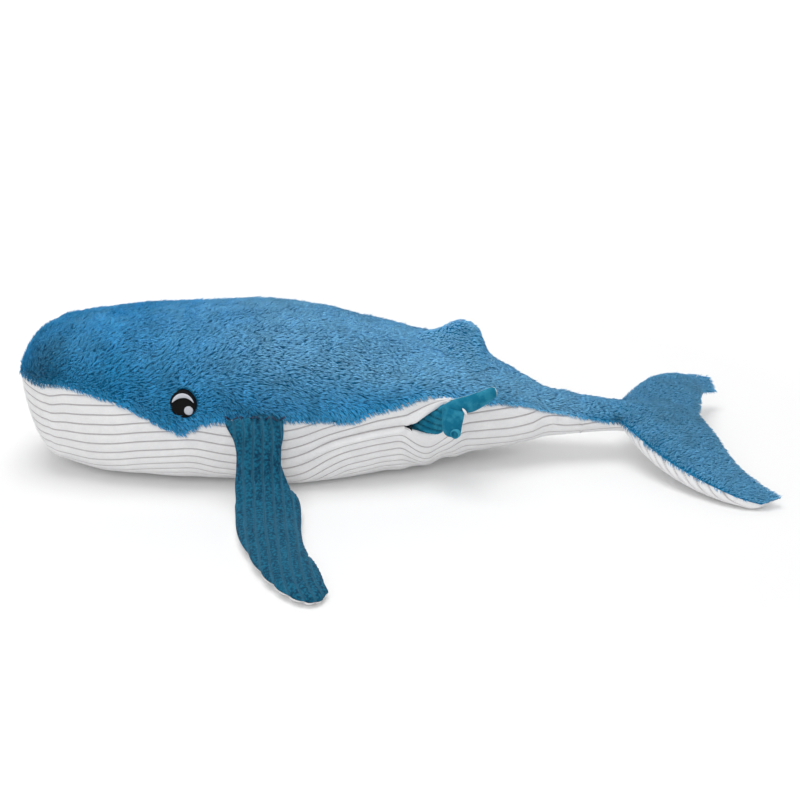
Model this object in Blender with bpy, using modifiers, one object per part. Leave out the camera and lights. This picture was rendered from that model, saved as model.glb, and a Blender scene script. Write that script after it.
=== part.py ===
"""Plush whale that lies on its belly, with a baby whale in a pocket in its side.

Metres, +Z up, the nose at -X. The origin is on the table under the middle of the toy.
The near side in the usual view is the whale's left side, at -Y.
"""

import math

import bpy
import bmesh
from mathutils import Vector

# Overall sizes
BODY_LENGTH = 0.527
STOCK_LENGTH = 0.060
FLUKE_LENGTH = 0.149
BODY_HALF_WIDTH = 0.099
BODY_HEIGHT = 0.163
NOSE_ROUND = 0.042
NOSE_X = -(BODY_LENGTH + STOCK_LENGTH + FLUKE_LENGTH) / 2

# Fabric and sewing
SKIN = 0.0016
SEAM_GAP = 0.0005
FIT_GAP = 0.0005
REST_DEPTH = 0.0005
RING_STEP = 0.029
STOCK_STEP = 0.014

# Bends of the tail
BEND_X = NOSE_X + BODY_LENGTH
HINGE_X = BEND_X + STOCK_LENGTH
BEND_HEIGHT = BODY_HEIGHT * 0.280
BEND_RADIUS = BODY_HEIGHT * 0.143
BEND_HALF_WIDTH = BODY_HALF_WIDTH * 0.303
HINGE_HEIGHT = BODY_HEIGHT * 0.2565
HINGE_RADIUS = BODY_HEIGHT * 0.0985
HINGE_HALF_WIDTH = BODY_HALF_WIDTH * 0.217
BEND_SWING = math.radians(15)
HINGE_SWING = math.radians(22)
SOCKET_GAP = 0.0005
LIP_GAP = 0.0006

# Flukes
FLUKE_HALF_SPAN = 0.136
FLUKE_HALF_THICKNESS = 0.016
UNDER_BULGE = 0.3

# Flippers
FLIPPER_LENGTH = 0.256
FLIPPER_HALF_WIDTH = 0.0295
FLIPPER_HALF_THICKNESS = 0.009
FLIPPER_ROOT_RADIUS = 0.0054
FLIPPER_ROOT_X = NOSE_X + BODY_LENGTH * 0.4573
FLIPPER_ROOT_HEIGHT = 0.077
FLIPPER_STEP = 0.027
FLIPPER_FULLNESS = 2.3
TIP_ROUND_SHARE = 0.9

# Dorsal fin
FIN_X = NOSE_X + BODY_LENGTH * 0.7875
FIN_LENGTH = 0.100
FIN_RISE = 0.029
FIN_HALF_THICKNESS = 0.015
FIN_EDGE_SHARE = 0.35
FIN_FULLNESS = 1.6

# Eyes
EYE_X = NOSE_X + BODY_LENGTH * 0.3226
EYE_HEIGHT = 0.0905
EYE_RADIUS = 0.0135
EYE_THICKNESS = 0.0012
EYE_GAP = 0.0007
EYE_STITCH = 0.0006
GLINT_RADIUS = 0.0043
CRESCENT_WIDTH = 0.0022
CRESCENT_SPAN = (20, 130)
CRESCENT_END_SHARE = 0.3
CRESCENT_EDGE_SHARE = 0.80
DISC_RING_SHARE = 0.55
GLINT_SHARES = (0.33, 0.30)

# Pocket in the left side
MOUTH_X = NOSE_X + BODY_LENGTH * 0.778
MOUTH_Y = -0.70 * BODY_HALF_WIDTH
MOUTH_HEIGHT = 0.0585
MOUTH_HALF_LENGTH = 0.0305
MOUTH_HALF_HEIGHT = 0.0180
POCKET_DEPTH = 0.126
POCKET_ROUND = 0.018
POCKET_OVERRUN = 0.030
POCKET_FULLNESS = 2.4
LINING = 0.0008
FLANK_TURN = math.radians(17.5)
SLIDE_TURN = math.radians(-25)
SLIDE_TILT = math.radians(15)

# Baby whale
BABY_LENGTH = 0.141
BABY_HALF_WIDTH = 0.0142
BABY_HALF_THICKNESS = 0.0115
BABY_ROUND = 0.014
BABY_NOSE_GAP = 0.008
BABY_SKIN = 0.0010
BABY_STEP = 0.012
BABY_TAIL_LIFT = 0.0165
BABY_FLUKE_LENGTH = 0.045
BABY_FLUKE_HALF_SPAN = 0.027
BABY_FLUKE_HALF_THICKNESS = 0.0065
BABY_BEND_SHARE = 0.75
BABY_FULLNESS = 2

# How finely the forms are faceted
ROUND_ENDS = (0, 14, 32, 52, 72)
ROOT_TURNS = (25, 50, 75)
SHARP_ANGLE = math.radians(50)
BACK_STEPS = 12
BELLY_STEPS = 14
SHEET_STEPS = 7
FLIPPER_STEPS = 5
FIN_STEPS = 6
EYE_SIDES = 18
CRESCENT_STEPS = 8
POCKET_PARTS = 6
POCKET_SIDES = 16
BABY_STEPS = 6
BALL_SEGMENTS = 32
BALL_RINGS = 18

X_AXIS = Vector((1, 0, 0))
Y_AXIS = Vector((0, 1, 0))
Z_AXIS = Vector((0, 0, 1))

# Trunk: share of its length to the tail bend, half width, bottom, widest line, top, belly fullness,
# back fullness, and how far in degrees the seam sits above the widest line
TRUNK_SHARES = [
    (0.000, 0.52, 0.330, 0.600, 0.790, 2.3, 2.2, 0),
    (0.030, 0.6, 0.170, 0.600, 0.835, 2.6, 2.2, 0),
    (0.055, 0.67, 0.081, 0.595, 0.865, 3.0, 2.2, 0),
    (0.101, 0.74, 0.029, 0.587, 0.919, 3.4, 2.2, 0),
    (0.146, 0.81, 0.008, 0.553, 0.940, 3.8, 2.2, 0),
    (0.192, 0.87, 0.000, 0.517, 0.963, 4.0, 2.2, 0),
    (0.237, 0.91, 0.000, 0.454, 0.987, 4.0, 2.2, 0),
    (0.305, 0.96, 0.000, 0.390, 1.000, 4.0, 2.2, 0),
    (0.351, 0.98, 0.000, 0.431, 0.996, 4.0, 2.2, 0),
    (0.442, 1, 0.000, 0.477, 0.992, 4.2, 2.2, 0),
    (0.510, 0.99, 0.000, 0.459, 0.972, 4.4, 2.2, 0),
    (0.578, 0.95, 0.000, 0.459, 0.928, 4.4, 2.2, 0),
    (0.647, 0.89, 0.000, 0.473, 0.856, 4.2, 2.2, 0),
    (0.716, 0.81, 0.008, 0.503, 0.795, 3.8, 2.2, 2),
    (0.761, 0.74, 0.021, 0.505, 0.763, 3.4, 2.2, 9),
    (0.807, 0.66, 0.048, 0.490, 0.723, 3.0, 2.1, 8),
    (0.859, 0.56, 0.086, 0.450, 0.663, 2.8, 2.1, 4),
    (0.901, 0.48, 0.094, 0.383, 0.602, 2.4, 2.0, 16),
    (0.959, 0.38, 0.115, 0.316, 0.493, 2.2, 2.0, 24),
    (0.983, 0.326, 0.130, 0.288, 0.440, 2.0, 2.0, 26),
    (1.000, 0.303, 0.137, 0.279, 0.423, 2.0, 2.0, 26),
    (1.024, 0.288, 0.138, 0.278, 0.419, 2.0, 2.0, 22),
    (1.060, 0.256, 0.150, 0.268, 0.388, 2.0, 2.0, 13),
    (1.114, 0.217, 0.158, 0.257, 0.355, 2.0, 2.0, 0),
    (1.182, 0.217, 0.158, 0.257, 0.355, 2.0, 2.0, 0),
]

# Flukes, from the left tip round the root to the right tip: leading point and trailing point as
# shares of the length, half span and hinge height, then half thickness, drop and how open the front is
FLUKE_SHARES = [
    (0.865, -1.00, 0.05, 1.000, -0.950, 0.05, 0.20, 0.7, 0.0),
    (0.760, -0.97, 0.20, 0.880, -0.820, 0.24, 0.36, 1.1, 0.0),
    (0.630, -0.89, 0.36, 0.765, -0.670, 0.41, 0.52, 1.3, 0.0),
    (0.455, -0.73, 0.54, 0.675, -0.480, 0.57, 0.66, 1.4, 0.0),
    (0.270, -0.51, 0.79, 0.605, -0.280, 0.76, 0.76, 1.4, 0.0),
    (0.125, -0.29, 0.97, 0.555, -0.120, 0.88, 0.84, 1.3, 0.0),
    (0.050, -0.157, 1.03, 0.535, -0.045, 0.91, 0.90, 1.15, 0.0),
    (0.044, -0.080, 1.02, 0.530, -0.015, 0.92, 0.93, 1.05, 0.66),
    (0.043, 0.000, 1.00, 0.528, 0.000, 0.92, 0.93, 1.0, 1.0),
    (0.044, 0.080, 1.00, 0.530, 0.015, 0.92, 0.95, 0.98, 0.66),
    (0.050, 0.157, 1.00, 0.535, 0.045, 0.92, 0.97, 0.95, 0.0),
    (0.108, 0.30, 1.06, 0.545, 0.120, 0.92, 0.97, 0.9, 0.0),
    (0.222, 0.48, 1.12, 0.580, 0.280, 0.90, 0.92, 0.8, 0.0),
    (0.362, 0.64, 1.09, 0.625, 0.450, 0.86, 0.80, 0.7, 0.0),
    (0.520, 0.78, 0.96, 0.680, 0.600, 0.80, 0.62, 0.7, 0.0),
    (0.655, 0.86, 0.80, 0.735, 0.730, 0.72, 0.42, 0.7, 0.0),
    (0.750, 0.90, 0.68, 0.825, 0.845, 0.62, 0.20, 0.7, 0.0),
]

# Baby's flukes, in its own length, width and thickness directions
BABY_FLUKE_SHARES = [
    (-0.18, -1.00, 1.25, 0.12, -1.00, 1.25, 0.40, 1.0, 0.0),
    (-0.22, -0.82, 1.10, 0.18, -0.82, 1.10, 0.85, 1.0, 0.0),
    (-0.18, -0.60, 0.95, 0.23, -0.58, 0.90, 1.00, 1.0, 0.0),
    (-0.04, -0.40, 0.62, 0.26, -0.36, 0.55, 1.00, 1.0, 0.0),
    (0.020, -0.25, 0.15, 0.26, -0.18, 0.15, 0.95, 1.0, 0.0),
    (0.012, 0.00, 0.00, 0.30, -0.06, 0.00, 0.88, 1.0, 1.0),
    (0.010, 0.24, -0.08, 0.35, -0.03, -0.10, 0.95, 1.0, 0.0),
    (0.24, 0.38, -0.30, 0.46, -0.02, -0.36, 1.00, 1.0, 0.0),
    (0.46, 0.50, -0.60, 0.64, 0.06, -0.62, 0.95, 1.0, 0.0),
    (0.68, 0.60, -0.88, 0.80, 0.22, -0.90, 0.70, 1.0, 0.0),
    (0.80, 0.62, -1.02, 0.87, 0.38, -1.02, 0.40, 1.0, 0.0),
]

# Flipper centre line from its hinge: shares of its length along X and out to the side, share of the
# root's height, then half width and half thickness
FLIPPER_SHARES = [
    (0.000, 0.000, 1.000, 0.92, 0.60),
    (0.000, 0.028, 0.860, 0.90, 0.74),
    (0.001, 0.050, 0.680, 0.82, 0.92),
    (0.003, 0.075, 0.490, 0.72, 1.00),
    (0.008, 0.115, 0.300, 0.69, 1.00),
    (0.017, 0.180, 0.180, 0.80, 1.00),
    (0.034, 0.275, 0.125, 0.97, 1.00),
    (0.050, 0.385, 0.117, 1.00, 1.00),
    (0.085, 0.525, 0.115, 0.93, 0.98),
    (0.140, 0.665, 0.110, 0.83, 0.92),
    (0.205, 0.785, 0.095, 0.66, 0.80),
    (0.262, 0.853, 0.075, 0.42, 0.60),
    (0.290, 0.877, 0.060, 0.26, 0.45),
]

# Baby's trunk: share of its length, half width, half thickness
BABY_SHARES = [
    (0.00, 0.80, 0.78),
    (0.15, 0.94, 0.92),
    (0.35, 1.00, 1.00),
    (0.60, 0.98, 0.98),
    (0.78, 0.82, 0.86),
    (0.90, 0.58, 0.68),
    (1.00, 0.42, 0.52),
    (1.10, 0.40, 0.50),
]

# Fin outline: share of its length, share of its rise
FIN_SHARES = [
    (0.00, 0.05),
    (0.14, 0.12),
    (0.28, 0.27),
    (0.42, 0.48),
    (0.56, 0.74),
    (0.70, 0.98),
    (0.79, 1.00),
    (0.88, 0.82),
    (0.95, 0.48),
    (1.00, 0.06),
]


def interpolate(rows, place):
    """The row at a place, on a smooth curve through the rows, whose first value is the place."""
    last = len(rows) - 2
    index = max(0, min(last, sum(row[0] <= place for row in rows) - 1))
    before, start, end, after = (rows[max(0, min(last + 1, index + step))] for step in (-1, 0, 1, 2))
    span = end[0] - start[0]
    share = (place - start[0]) / span
    found = []
    for column in range(1, len(start)):
        rise = (end[column] - before[column]) / (end[0] - before[0]) * span
        fall = (after[column] - start[column]) / (after[0] - start[0]) * span
        change = end[column] - start[column]
        curve = (rise + fall - 2 * change) * share**3 + (3 * change - 2 * rise - fall) * share**2
        found.append(start[column] + rise * share + curve)
    return found


def section_point(angle, half_width, rise, drop, crown, keel):
    """Across and up, at an angle of a section whose upper and lower halves differ."""
    height, fullness = (rise, crown) if math.sin(angle) >= 0 else (drop, keel)
    across = math.copysign(abs(math.cos(angle)) ** (2 / fullness), math.cos(angle))
    upward = math.copysign(abs(math.sin(angle)) ** (2 / fullness), math.sin(angle))
    return across * half_width, upward * height


def stops(start, end, step, first_round, last_round, inset):
    """Places along a form with the share of its full section there: 0 at a rounded end."""
    found = []
    corners = [math.radians(degrees) for degrees in ROUND_ENDS]
    if first_round:
        reach = first_round - inset
        for corner in corners:
            found.append((start + inset + reach * (1 - math.cos(corner)), math.sin(corner)))
    first = start + first_round
    last = end - last_round
    count = max(1, round((last - first) / step))
    for index in range(count + 1):
        found.append((first + (last - first) * index / count, 1.0))
    if last_round:
        reach = last_round - inset
        for corner in reversed(corners):
            found.append((end - inset - reach * (1 - math.cos(corner)), math.sin(corner)))
    return found


def material(name, color, roughness):
    """A plain fabric of one colour."""
    made = bpy.data.materials.new(name)
    made.use_nodes = True
    shader = made.node_tree.nodes["Principled BSDF"]
    shader.inputs["Base Color"].default_value = (*color, 1)
    shader.inputs["Roughness"].default_value = roughness
    shader.inputs["Metallic"].default_value = 0
    return made


def empty(name, place, collection):
    """A pivot that carries the pieces of one moving part."""
    pivot = bpy.data.objects.new(name, None)
    pivot.location = place
    collection.objects.link(pivot)
    return pivot


def add_piece(kit, name, mesh_builder, fabric, pivot=None):
    """Makes an object of a bmesh, with its origin on its pivot. Without a fabric it is a cutter."""
    mesh = bpy.data.meshes.new(name)
    mesh_builder.to_mesh(mesh)
    mesh_builder.free()
    piece = bpy.data.objects.new(name, mesh)
    if pivot:
        for vertex in mesh.vertices:
            vertex.co -= pivot.location
        piece.parent = pivot
    if fabric:
        mesh.materials.append(kit["fabrics"][fabric])
    kit["parts" if fabric else "cutters"].objects.link(piece)
    mesh.shade_smooth()
    mesh.set_sharp_from_angle(angle=SHARP_ANGLE)
    if not fabric:
        piece.hide_render = True
        piece.display_type = "WIRE"
    return piece


def add_faces(made, placed, around):
    """Joins each row of vertices to the next. A row of one vertex is a pole."""
    for near, far in zip(placed, placed[1:]):
        count = max(len(near), len(far))
        for index in range(count if around else count - 1):
            after = (index + 1) % count
            steps = ((near, index), (near, after), (far, after), (far, index))
            corners = [row[step % len(row)] for row, step in steps]
            made.faces.new(list(dict.fromkeys(corners)))


def grid_mesh(rows, around=False, capped=False):
    """A mesh through rows of points."""
    made = bmesh.new()
    placed = [[made.verts.new(point) for point in row] for row in rows]
    add_faces(made, placed, around)
    if capped:
        for row, turn in ((placed[0], True), (placed[-1], False)):
            if len(row) > 2:
                made.faces.new(row[::-1] if turn else row)
    return made


def close_form(made):
    """Welds the two sheets of a form, and turns its faces outwards."""
    bmesh.ops.remove_doubles(made, verts=made.verts, dist=SEAM_GAP / 10)
    bmesh.ops.dissolve_degenerate(made, edges=made.edges, dist=SEAM_GAP / 10)
    bmesh.ops.holes_fill(made, edges=[edge for edge in made.edges if edge.is_boundary])
    bmesh.ops.recalc_face_normals(made, faces=made.faces)
    return made


def shell_mesh(outer, inner, around=False):
    """A skin between two nested sheets of rows, closed round its rims."""
    made = bmesh.new()
    sheets = []
    for rows in (outer, inner):
        placed = [[made.verts.new(point) for point in row] for row in rows]
        add_faces(made, placed, around)
        sheets.append(placed)
    if around:
        rims = [[placed[end] for placed in sheets] for end in (0, -1) if len(sheets[0][end]) > 1]
    else:
        rims = [[outline(placed) for placed in sheets]]
    for outside, inside in rims:
        for index in range(len(outside)):
            after = (index + 1) % len(outside)
            made.faces.new((outside[index], outside[after], inside[after], inside[index]))
    bmesh.ops.recalc_face_normals(made, faces=made.faces)
    return made


def outline(placed):
    """The points round the edge of a sheet of rows, in order."""
    right = [row[-1] for row in placed[1:-1]]
    left = [row[0] for row in placed[1:-1]]
    return placed[0] + right + placed[-1][::-1] + left[::-1]


def cut(piece, cutter):
    """Takes a cutter's shape out of a piece."""
    boolean = piece.modifiers.new("Cut " + cutter.name, "BOOLEAN")
    boolean.operation = "DIFFERENCE"
    boolean.object = cutter
    boolean.solver = "EXACT"


def arc(first, last, count):
    """Evenly spaced angles, in radians, from degrees."""
    return [math.radians(first + (last - first) * index / count) for index in range(count + 1)]


def trunk_ring(place, share, angles, inset, lift=0.0):
    """Points of the trunk's section at a distance from the nose."""
    half, bottom, widest, top, keel, crown, _ = interpolate(TRUNK_SHARES, place / BODY_LENGTH)
    middle = widest * BODY_HEIGHT
    rise = (top - widest) * BODY_HEIGHT - inset
    drop = (widest - bottom) * BODY_HEIGHT - inset + (REST_DEPTH if bottom <= 0 else 0)
    ring = []
    for angle in angles:
        across, upward = section_point(angle, half * BODY_HALF_WIDTH - inset, rise, drop, crown, keel)
        height = middle + upward * share + lift
        ring.append(Vector((NOSE_X + place, across * share, max(height, inset))))
    return ring


def seam_angle(place):
    """How far above the widest line the blue back meets the white belly, in degrees."""
    return interpolate(TRUNK_SHARES, place / BODY_LENGTH)[-1]


def trunk_rows(start, end, first_round, last_round, side, inset=0.0, step=RING_STEP):
    """Rows of one panel of the trunk: left or right back, belly, or the whole section.

    A rounded rear end is a ball: it keeps the section where its rounding starts.
    """
    rows = []
    for place, share in stops(start, end, step, first_round, last_round, inset):
        held = min(place, end - last_round)
        seam = seam_angle(held)
        back = arc(seam, 180 - seam, BACK_STEPS)
        belly = arc(180 - seam, 360 + seam, BELLY_STEPS)
        half = BACK_STEPS // 2
        angles, lift, aside = {
            "right": (back[: half + 1], SEAM_GAP / 2, SEAM_GAP / 2),
            "left": (back[half:], SEAM_GAP / 2, -SEAM_GAP / 2),
            "back": (back, SEAM_GAP / 2, 0),
            "belly": (belly, -SEAM_GAP / 2, 0),
            "whole": (back[:-1] + belly[:-1], 0, 0),
        }[side]
        ring = trunk_ring(held, share, angles if share else angles[:1], inset, lift)
        ring = [point + X_AXIS * (place - held) for point in ring]
        rows.append([point + Y_AXIS * aside for point in ring])
    return rows


def trunk_skin(start, end, first_round, side, step=RING_STEP):
    """One panel of the trunk, with its thickness."""
    sheets = [trunk_rows(start, end, first_round, 0, side, inset, step) for inset in (0, SKIN)]
    return shell_mesh(*sheets)


def add_body(kit):
    """The body's three panels and its stuffing, whose rear end is the ball of the tail bend."""
    for side in ("left", "right"):
        add_piece(kit, f"back_cover_{side}", trunk_skin(0, BODY_LENGTH, NOSE_ROUND, side), "plush")
    belly = add_piece(kit, "belly_cover", trunk_skin(0, BODY_LENGTH, NOSE_ROUND, "belly"), "corduroy")
    inset = SKIN + FIT_GAP
    ball = BODY_LENGTH + BEND_RADIUS
    rows = trunk_rows(0, ball, NOSE_ROUND, BEND_RADIUS, "whole", inset)
    stuffing = add_piece(kit, "body_stuffing", grid_mesh(rows, around=True, capped=True), "fibre")
    for piece in (belly, stuffing):
        cut(piece, kit["pocket_cutter"])


def add_ball(kit, name, place, radius, half_width, inset):
    """A cutter for the hollow in which the round end of the piece in front turns."""
    reach = radius - inset + SOCKET_GAP
    bpy.ops.mesh.primitive_uv_sphere_add(segments=BALL_SEGMENTS, ring_count=BALL_RINGS, radius=reach)
    ball = bpy.context.object
    ball.name = name
    ball.location = place
    ball.scale.y = (half_width - inset + SOCKET_GAP) / reach
    ball.hide_render = True
    ball.display_type = "WIRE"
    kit["home"].objects.unlink(ball)
    kit["cutters"].objects.link(ball)
    return ball


def add_stock(kit):
    """The tail stock between the two bends."""
    pivot = empty("tail_bend", (BEND_X, 0, BEND_HEIGHT), kit["parts"])
    kit["tail_bend"] = pivot
    start = BODY_LENGTH + BEND_RADIUS * math.sin(BEND_SWING) + LIP_GAP
    end = BODY_LENGTH + STOCK_LENGTH
    for side, fabric in (("back", "plush"), ("belly", "corduroy")):
        add_piece(kit, f"tail_{side}_cover", trunk_skin(start, end, 0, side, STOCK_STEP), fabric, pivot)
    inset = SKIN + FIT_GAP
    rows = trunk_rows(start, end + HINGE_RADIUS, 0, HINGE_RADIUS, "whole", inset, STOCK_STEP)
    stuffing = add_piece(kit, "tail_stuffing", grid_mesh(rows, around=True, capped=True), "fibre", pivot)
    cut(stuffing, add_ball(kit, "bend_ball", pivot.location, BEND_RADIUS, BEND_HALF_WIDTH, inset))


def sheet(columns, frame, sizes, sign, inset, lift):
    """One side of a pair of flukes: rows from the leading to the trailing edge."""
    origin, forward, across, upward = frame
    length, half_span, height, half_thickness = sizes
    rows = []
    ends = (0, len(columns) - 1)
    for index, column in enumerate(columns):
        lead = Vector((column[0] * length, column[1] * half_span, column[2] * height))
        trail = Vector((column[3] * length, column[4] * half_span, column[5] * height))
        thickness, drop, opening = column[6] * half_thickness - inset, column[7], column[8]
        chord = (trail - lead).normalized() * inset
        lead += chord
        trail -= chord
        if index in ends:
            beside = columns[1 if index == 0 else index - 1]
            inwards = Vector((beside[0] * length, beside[1] * half_span, beside[2] * height)) - lead
            lead += inwards.normalized() * inset
            trail += inwards.normalized() * inset
        if sign < 0:
            thickness *= drop
        first = -90 * (1 - opening)
        row = []
        for angle in arc(first, 90, SHEET_STEPS):
            start = math.sin(math.radians(first))
            share = (math.sin(angle) - start) / (1 - start)
            bulge = max(0.0, math.cos(angle))
            ahead = UNDER_BULGE * (drop - 1) * bulge * (1 - share) if sign < 0 and drop > 1 else 0
            point = lead.lerp(trail, share - ahead)
            point.z += sign * thickness * bulge + lift
            row.append(origin + forward * point.x + across * point.y + upward * point.z)
        rows.append(row)
    return rows


def on_table(rows, inset):
    """Keeps a soft underside from reaching into the table."""
    for row in rows:
        for point in row:
            point.z = max(point.z, inset)
    return rows


def fluke_pieces(kit, prefix, columns, frame, sizes, skin, fabrics, pivot):
    """Upper cover, under cover and stuffing of a pair of flukes."""
    for name, fabric, sign in (("_top_cover", fabrics[0], 1), ("_under_cover", fabrics[1], -1)):
        lift = sign * SEAM_GAP / 2
        sheets = [on_table(sheet(columns, frame, sizes, sign, depth, lift), depth) for depth in (0, skin)]
        add_piece(kit, prefix + name, shell_mesh(*sheets), fabric, pivot)
    inset = skin + FIT_GAP
    filled = grid_mesh(on_table(sheet(columns, frame, sizes, 1, inset, 0), inset))
    lower = grid_mesh(on_table(sheet(columns, frame, sizes, -1, inset, 0), inset))
    spare = bpy.data.meshes.new("spare")
    lower.to_mesh(spare)
    lower.free()
    filled.from_mesh(spare)
    bpy.data.meshes.remove(spare)
    return add_piece(kit, prefix + "_stuffing", close_form(filled), "fibre", pivot)


def add_flukes(kit):
    """The two fluke lobes, hinged on the end of the tail stock."""
    place = Vector((HINGE_X, 0, HINGE_HEIGHT))
    pivot = empty("fluke_hinge", place, kit["parts"])
    frame = (Vector((HINGE_X, 0, 0)), X_AXIS, Y_AXIS, Z_AXIS)
    sizes = (FLUKE_LENGTH, FLUKE_HALF_SPAN, HINGE_HEIGHT, FLUKE_HALF_THICKNESS)
    fabrics = ("plush", "corduroy")
    stuffing = fluke_pieces(kit, "fluke", FLUKE_SHARES, frame, sizes, SKIN, fabrics, pivot)
    inset = SKIN + FIT_GAP
    cut(stuffing, add_ball(kit, "hinge_ball", place, HINGE_RADIUS, HINGE_HALF_WIDTH, inset))


def flipper_hinge(side):
    """The line that a flipper swings about: its sewn root, beside the whale's widest place."""
    out = BODY_HALF_WIDTH + FIT_GAP + FLIPPER_ROOT_RADIUS
    return Vector((FLIPPER_ROOT_X, side * out, FLIPPER_ROOT_HEIGHT))


def flipper_line(side):
    """Centre line, half width and half thickness of a flipper, as rows for interpolate."""
    hinge = flipper_hinge(side)
    rows = []
    for along, out, height, half_width, half_thickness in FLIPPER_SHARES:
        thickness = half_thickness * FLIPPER_HALF_THICKNESS
        point = hinge + Vector((along, side * out, 0)) * FLIPPER_LENGTH
        point.z = max(height * FLIPPER_ROOT_HEIGHT, thickness)
        travelled = rows[-1][0] + (point - Vector(rows[-1][1:4])).length if rows else FLIPPER_ROOT_RADIUS
        rows.append((travelled, *point, half_width * FLIPPER_HALF_WIDTH, thickness))
    root = hinge - (Vector(rows[1][1:4]) - hinge).normalized() * FLIPPER_ROOT_RADIUS
    return [(0.0, *root, *rows[0][4:])] + rows


def flipper_stops(length, inset):
    """Places along a flipper with the shares of its width and of its thickness there."""
    root = FLIPPER_ROOT_RADIUS - inset
    turns = [math.radians(degrees) for degrees in ROOT_TURNS]
    found = [(inset + root * (1 - math.cos(turn)), 1.0, math.sin(turn)) for turn in turns]
    tip_round = FLIPPER_HALF_THICKNESS * TIP_ROUND_SHARE
    body = stops(FLIPPER_ROOT_RADIUS, length, FLIPPER_STEP, 0, tip_round, inset)
    return found + [(place, share, share) for place, share in body]


def flipper_rows(side, panel, inset=0.0):
    """Rings of a flipper, as the upper panel, the under panel or the whole section."""
    line = flipper_line(side)
    angles, lift = {
        "top": (arc(0, 180, FLIPPER_STEPS), SEAM_GAP / 2),
        "under": (arc(180, 360, FLIPPER_STEPS), -SEAM_GAP / 2),
        "whole": (arc(0, 360, 2 * FLIPPER_STEPS)[:-1], 0),
    }[panel]
    rows = []
    for place, wide_share, thick_share in flipper_stops(line[-1][0], inset):
        x, y, z, half_width, half_thickness = interpolate(line, place)
        ahead = Vector(interpolate(line, place + FIT_GAP)[:3])
        behind = Vector(interpolate(line, max(0.0, place - FIT_GAP))[:3])
        heading = (ahead - behind).normalized()
        across = Z_AXIS.cross(heading).normalized()
        upward = heading.cross(across)
        wide = half_width - inset
        thick = half_thickness - inset
        ring = []
        for angle in angles if wide_share else angles[:1]:
            reach, height = section_point(angle, wide, thick, thick, FLIPPER_FULLNESS, FLIPPER_FULLNESS)
            point = Vector((x, y, z)) + across * reach * wide_share + upward * (height * thick_share + lift)
            point.z = max(point.z, inset)
            ring.append(point)
        rows.append(ring)
    return rows


def add_flipper(kit, name, side):
    """A flipper: corduroy upper and under panels round its stuffing, swung from its sewn root."""
    pivot = empty(name + "_root", flipper_hinge(side), kit["parts"])
    for panel, fabric in (("top", "teal_corduroy"), ("under", "corduroy")):
        sheets = [flipper_rows(side, panel, inset) for inset in (0, SKIN)]
        add_piece(kit, f"{name}_{panel}_cover", shell_mesh(*sheets), fabric, pivot)
    inset = SKIN + FIT_GAP
    rows = flipper_rows(side, "whole", inset)
    add_piece(kit, name + "_stuffing", grid_mesh(rows, around=True, capped=True), "fibre", pivot)


def back_point(place_x, height, side, proud):
    """A point on the left or right back panel, standing proud of it."""
    half, _, widest, top, _, crown, _ = interpolate(TRUNK_SHARES, (place_x - NOSE_X) / BODY_LENGTH)
    upward = max(0.0, (height / BODY_HEIGHT - widest) / (top - widest))
    across = (1 - min(1.0, upward) ** crown) ** (1 / crown)
    return Vector((place_x, side * (across * half * BODY_HALF_WIDTH + proud), height))


def disc_rows(centre, radius, side, proud):
    """Rings of a small round patch that follows the back panel."""
    rows = [[back_point(centre[0], centre[1], side, proud)]]
    for share in (DISC_RING_SHARE, 1.0):
        ring = []
        for angle in arc(0, 360, EYE_SIDES)[:-1]:
            x = centre[0] + side * radius * share * math.cos(angle)
            ring.append(back_point(x, centre[1] + radius * share * math.sin(angle), side, proud))
        rows.append(ring)
    return rows


def crescent_rows(centre, outer, width, side, proud):
    """Two edges of the pale crescent inside the upper part of the eye."""
    rows = []
    for edge in (0, 1):
        row = []
        for index, angle in enumerate(arc(*CRESCENT_SPAN, CRESCENT_STEPS)):
            bulge = math.sin(math.pi * index / CRESCENT_STEPS)
            radius = outer - edge * width * (CRESCENT_END_SHARE + (1 - CRESCENT_END_SHARE) * bulge)
            x = centre[0] - radius * math.cos(angle)
            row.append(back_point(x, centre[1] + radius * math.sin(angle), side, proud))
        rows.append(row)
    return rows


def patch(kit, name, rows, around, fabric, thickness, outwards):
    """A patch of satin stitch: an open surface that gets its thickness away from the cover."""
    made = grid_mesh(rows, around=around)
    made.normal_update()
    facing = sum((face.normal * face.calc_area() for face in made.faces), Vector())
    if facing.dot(outwards) < 0:
        bmesh.ops.reverse_faces(made, faces=made.faces)
    piece = add_piece(kit, name, made, fabric)
    shell = piece.modifiers.new("Thickness", "SOLIDIFY")
    shell.thickness = thickness
    shell.offset = 1
    return piece


def add_eye(kit, name, side):
    """An embroidered eye: dark disc, pale crescent and round glint."""
    centre = (EYE_X, EYE_HEIGHT)
    outwards = Y_AXIS * side
    proud = EYE_GAP
    rows = disc_rows(centre, EYE_RADIUS, side, proud)
    patch(kit, name + "_disc", rows, True, "black_thread", EYE_THICKNESS, outwards)
    proud += EYE_THICKNESS + EYE_GAP
    edge = EYE_RADIUS * CRESCENT_EDGE_SHARE
    rows = crescent_rows(centre, edge, CRESCENT_WIDTH, side, proud)
    patch(kit, name + "_crescent", rows, False, "pale_thread", EYE_STITCH, outwards)
    glint = (EYE_X + EYE_RADIUS * GLINT_SHARES[0], EYE_HEIGHT - EYE_RADIUS * GLINT_SHARES[1])
    rows = disc_rows(glint, GLINT_RADIUS, side, proud)
    patch(kit, name + "_glint", rows, True, "pale_thread", EYE_STITCH, outwards)


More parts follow.
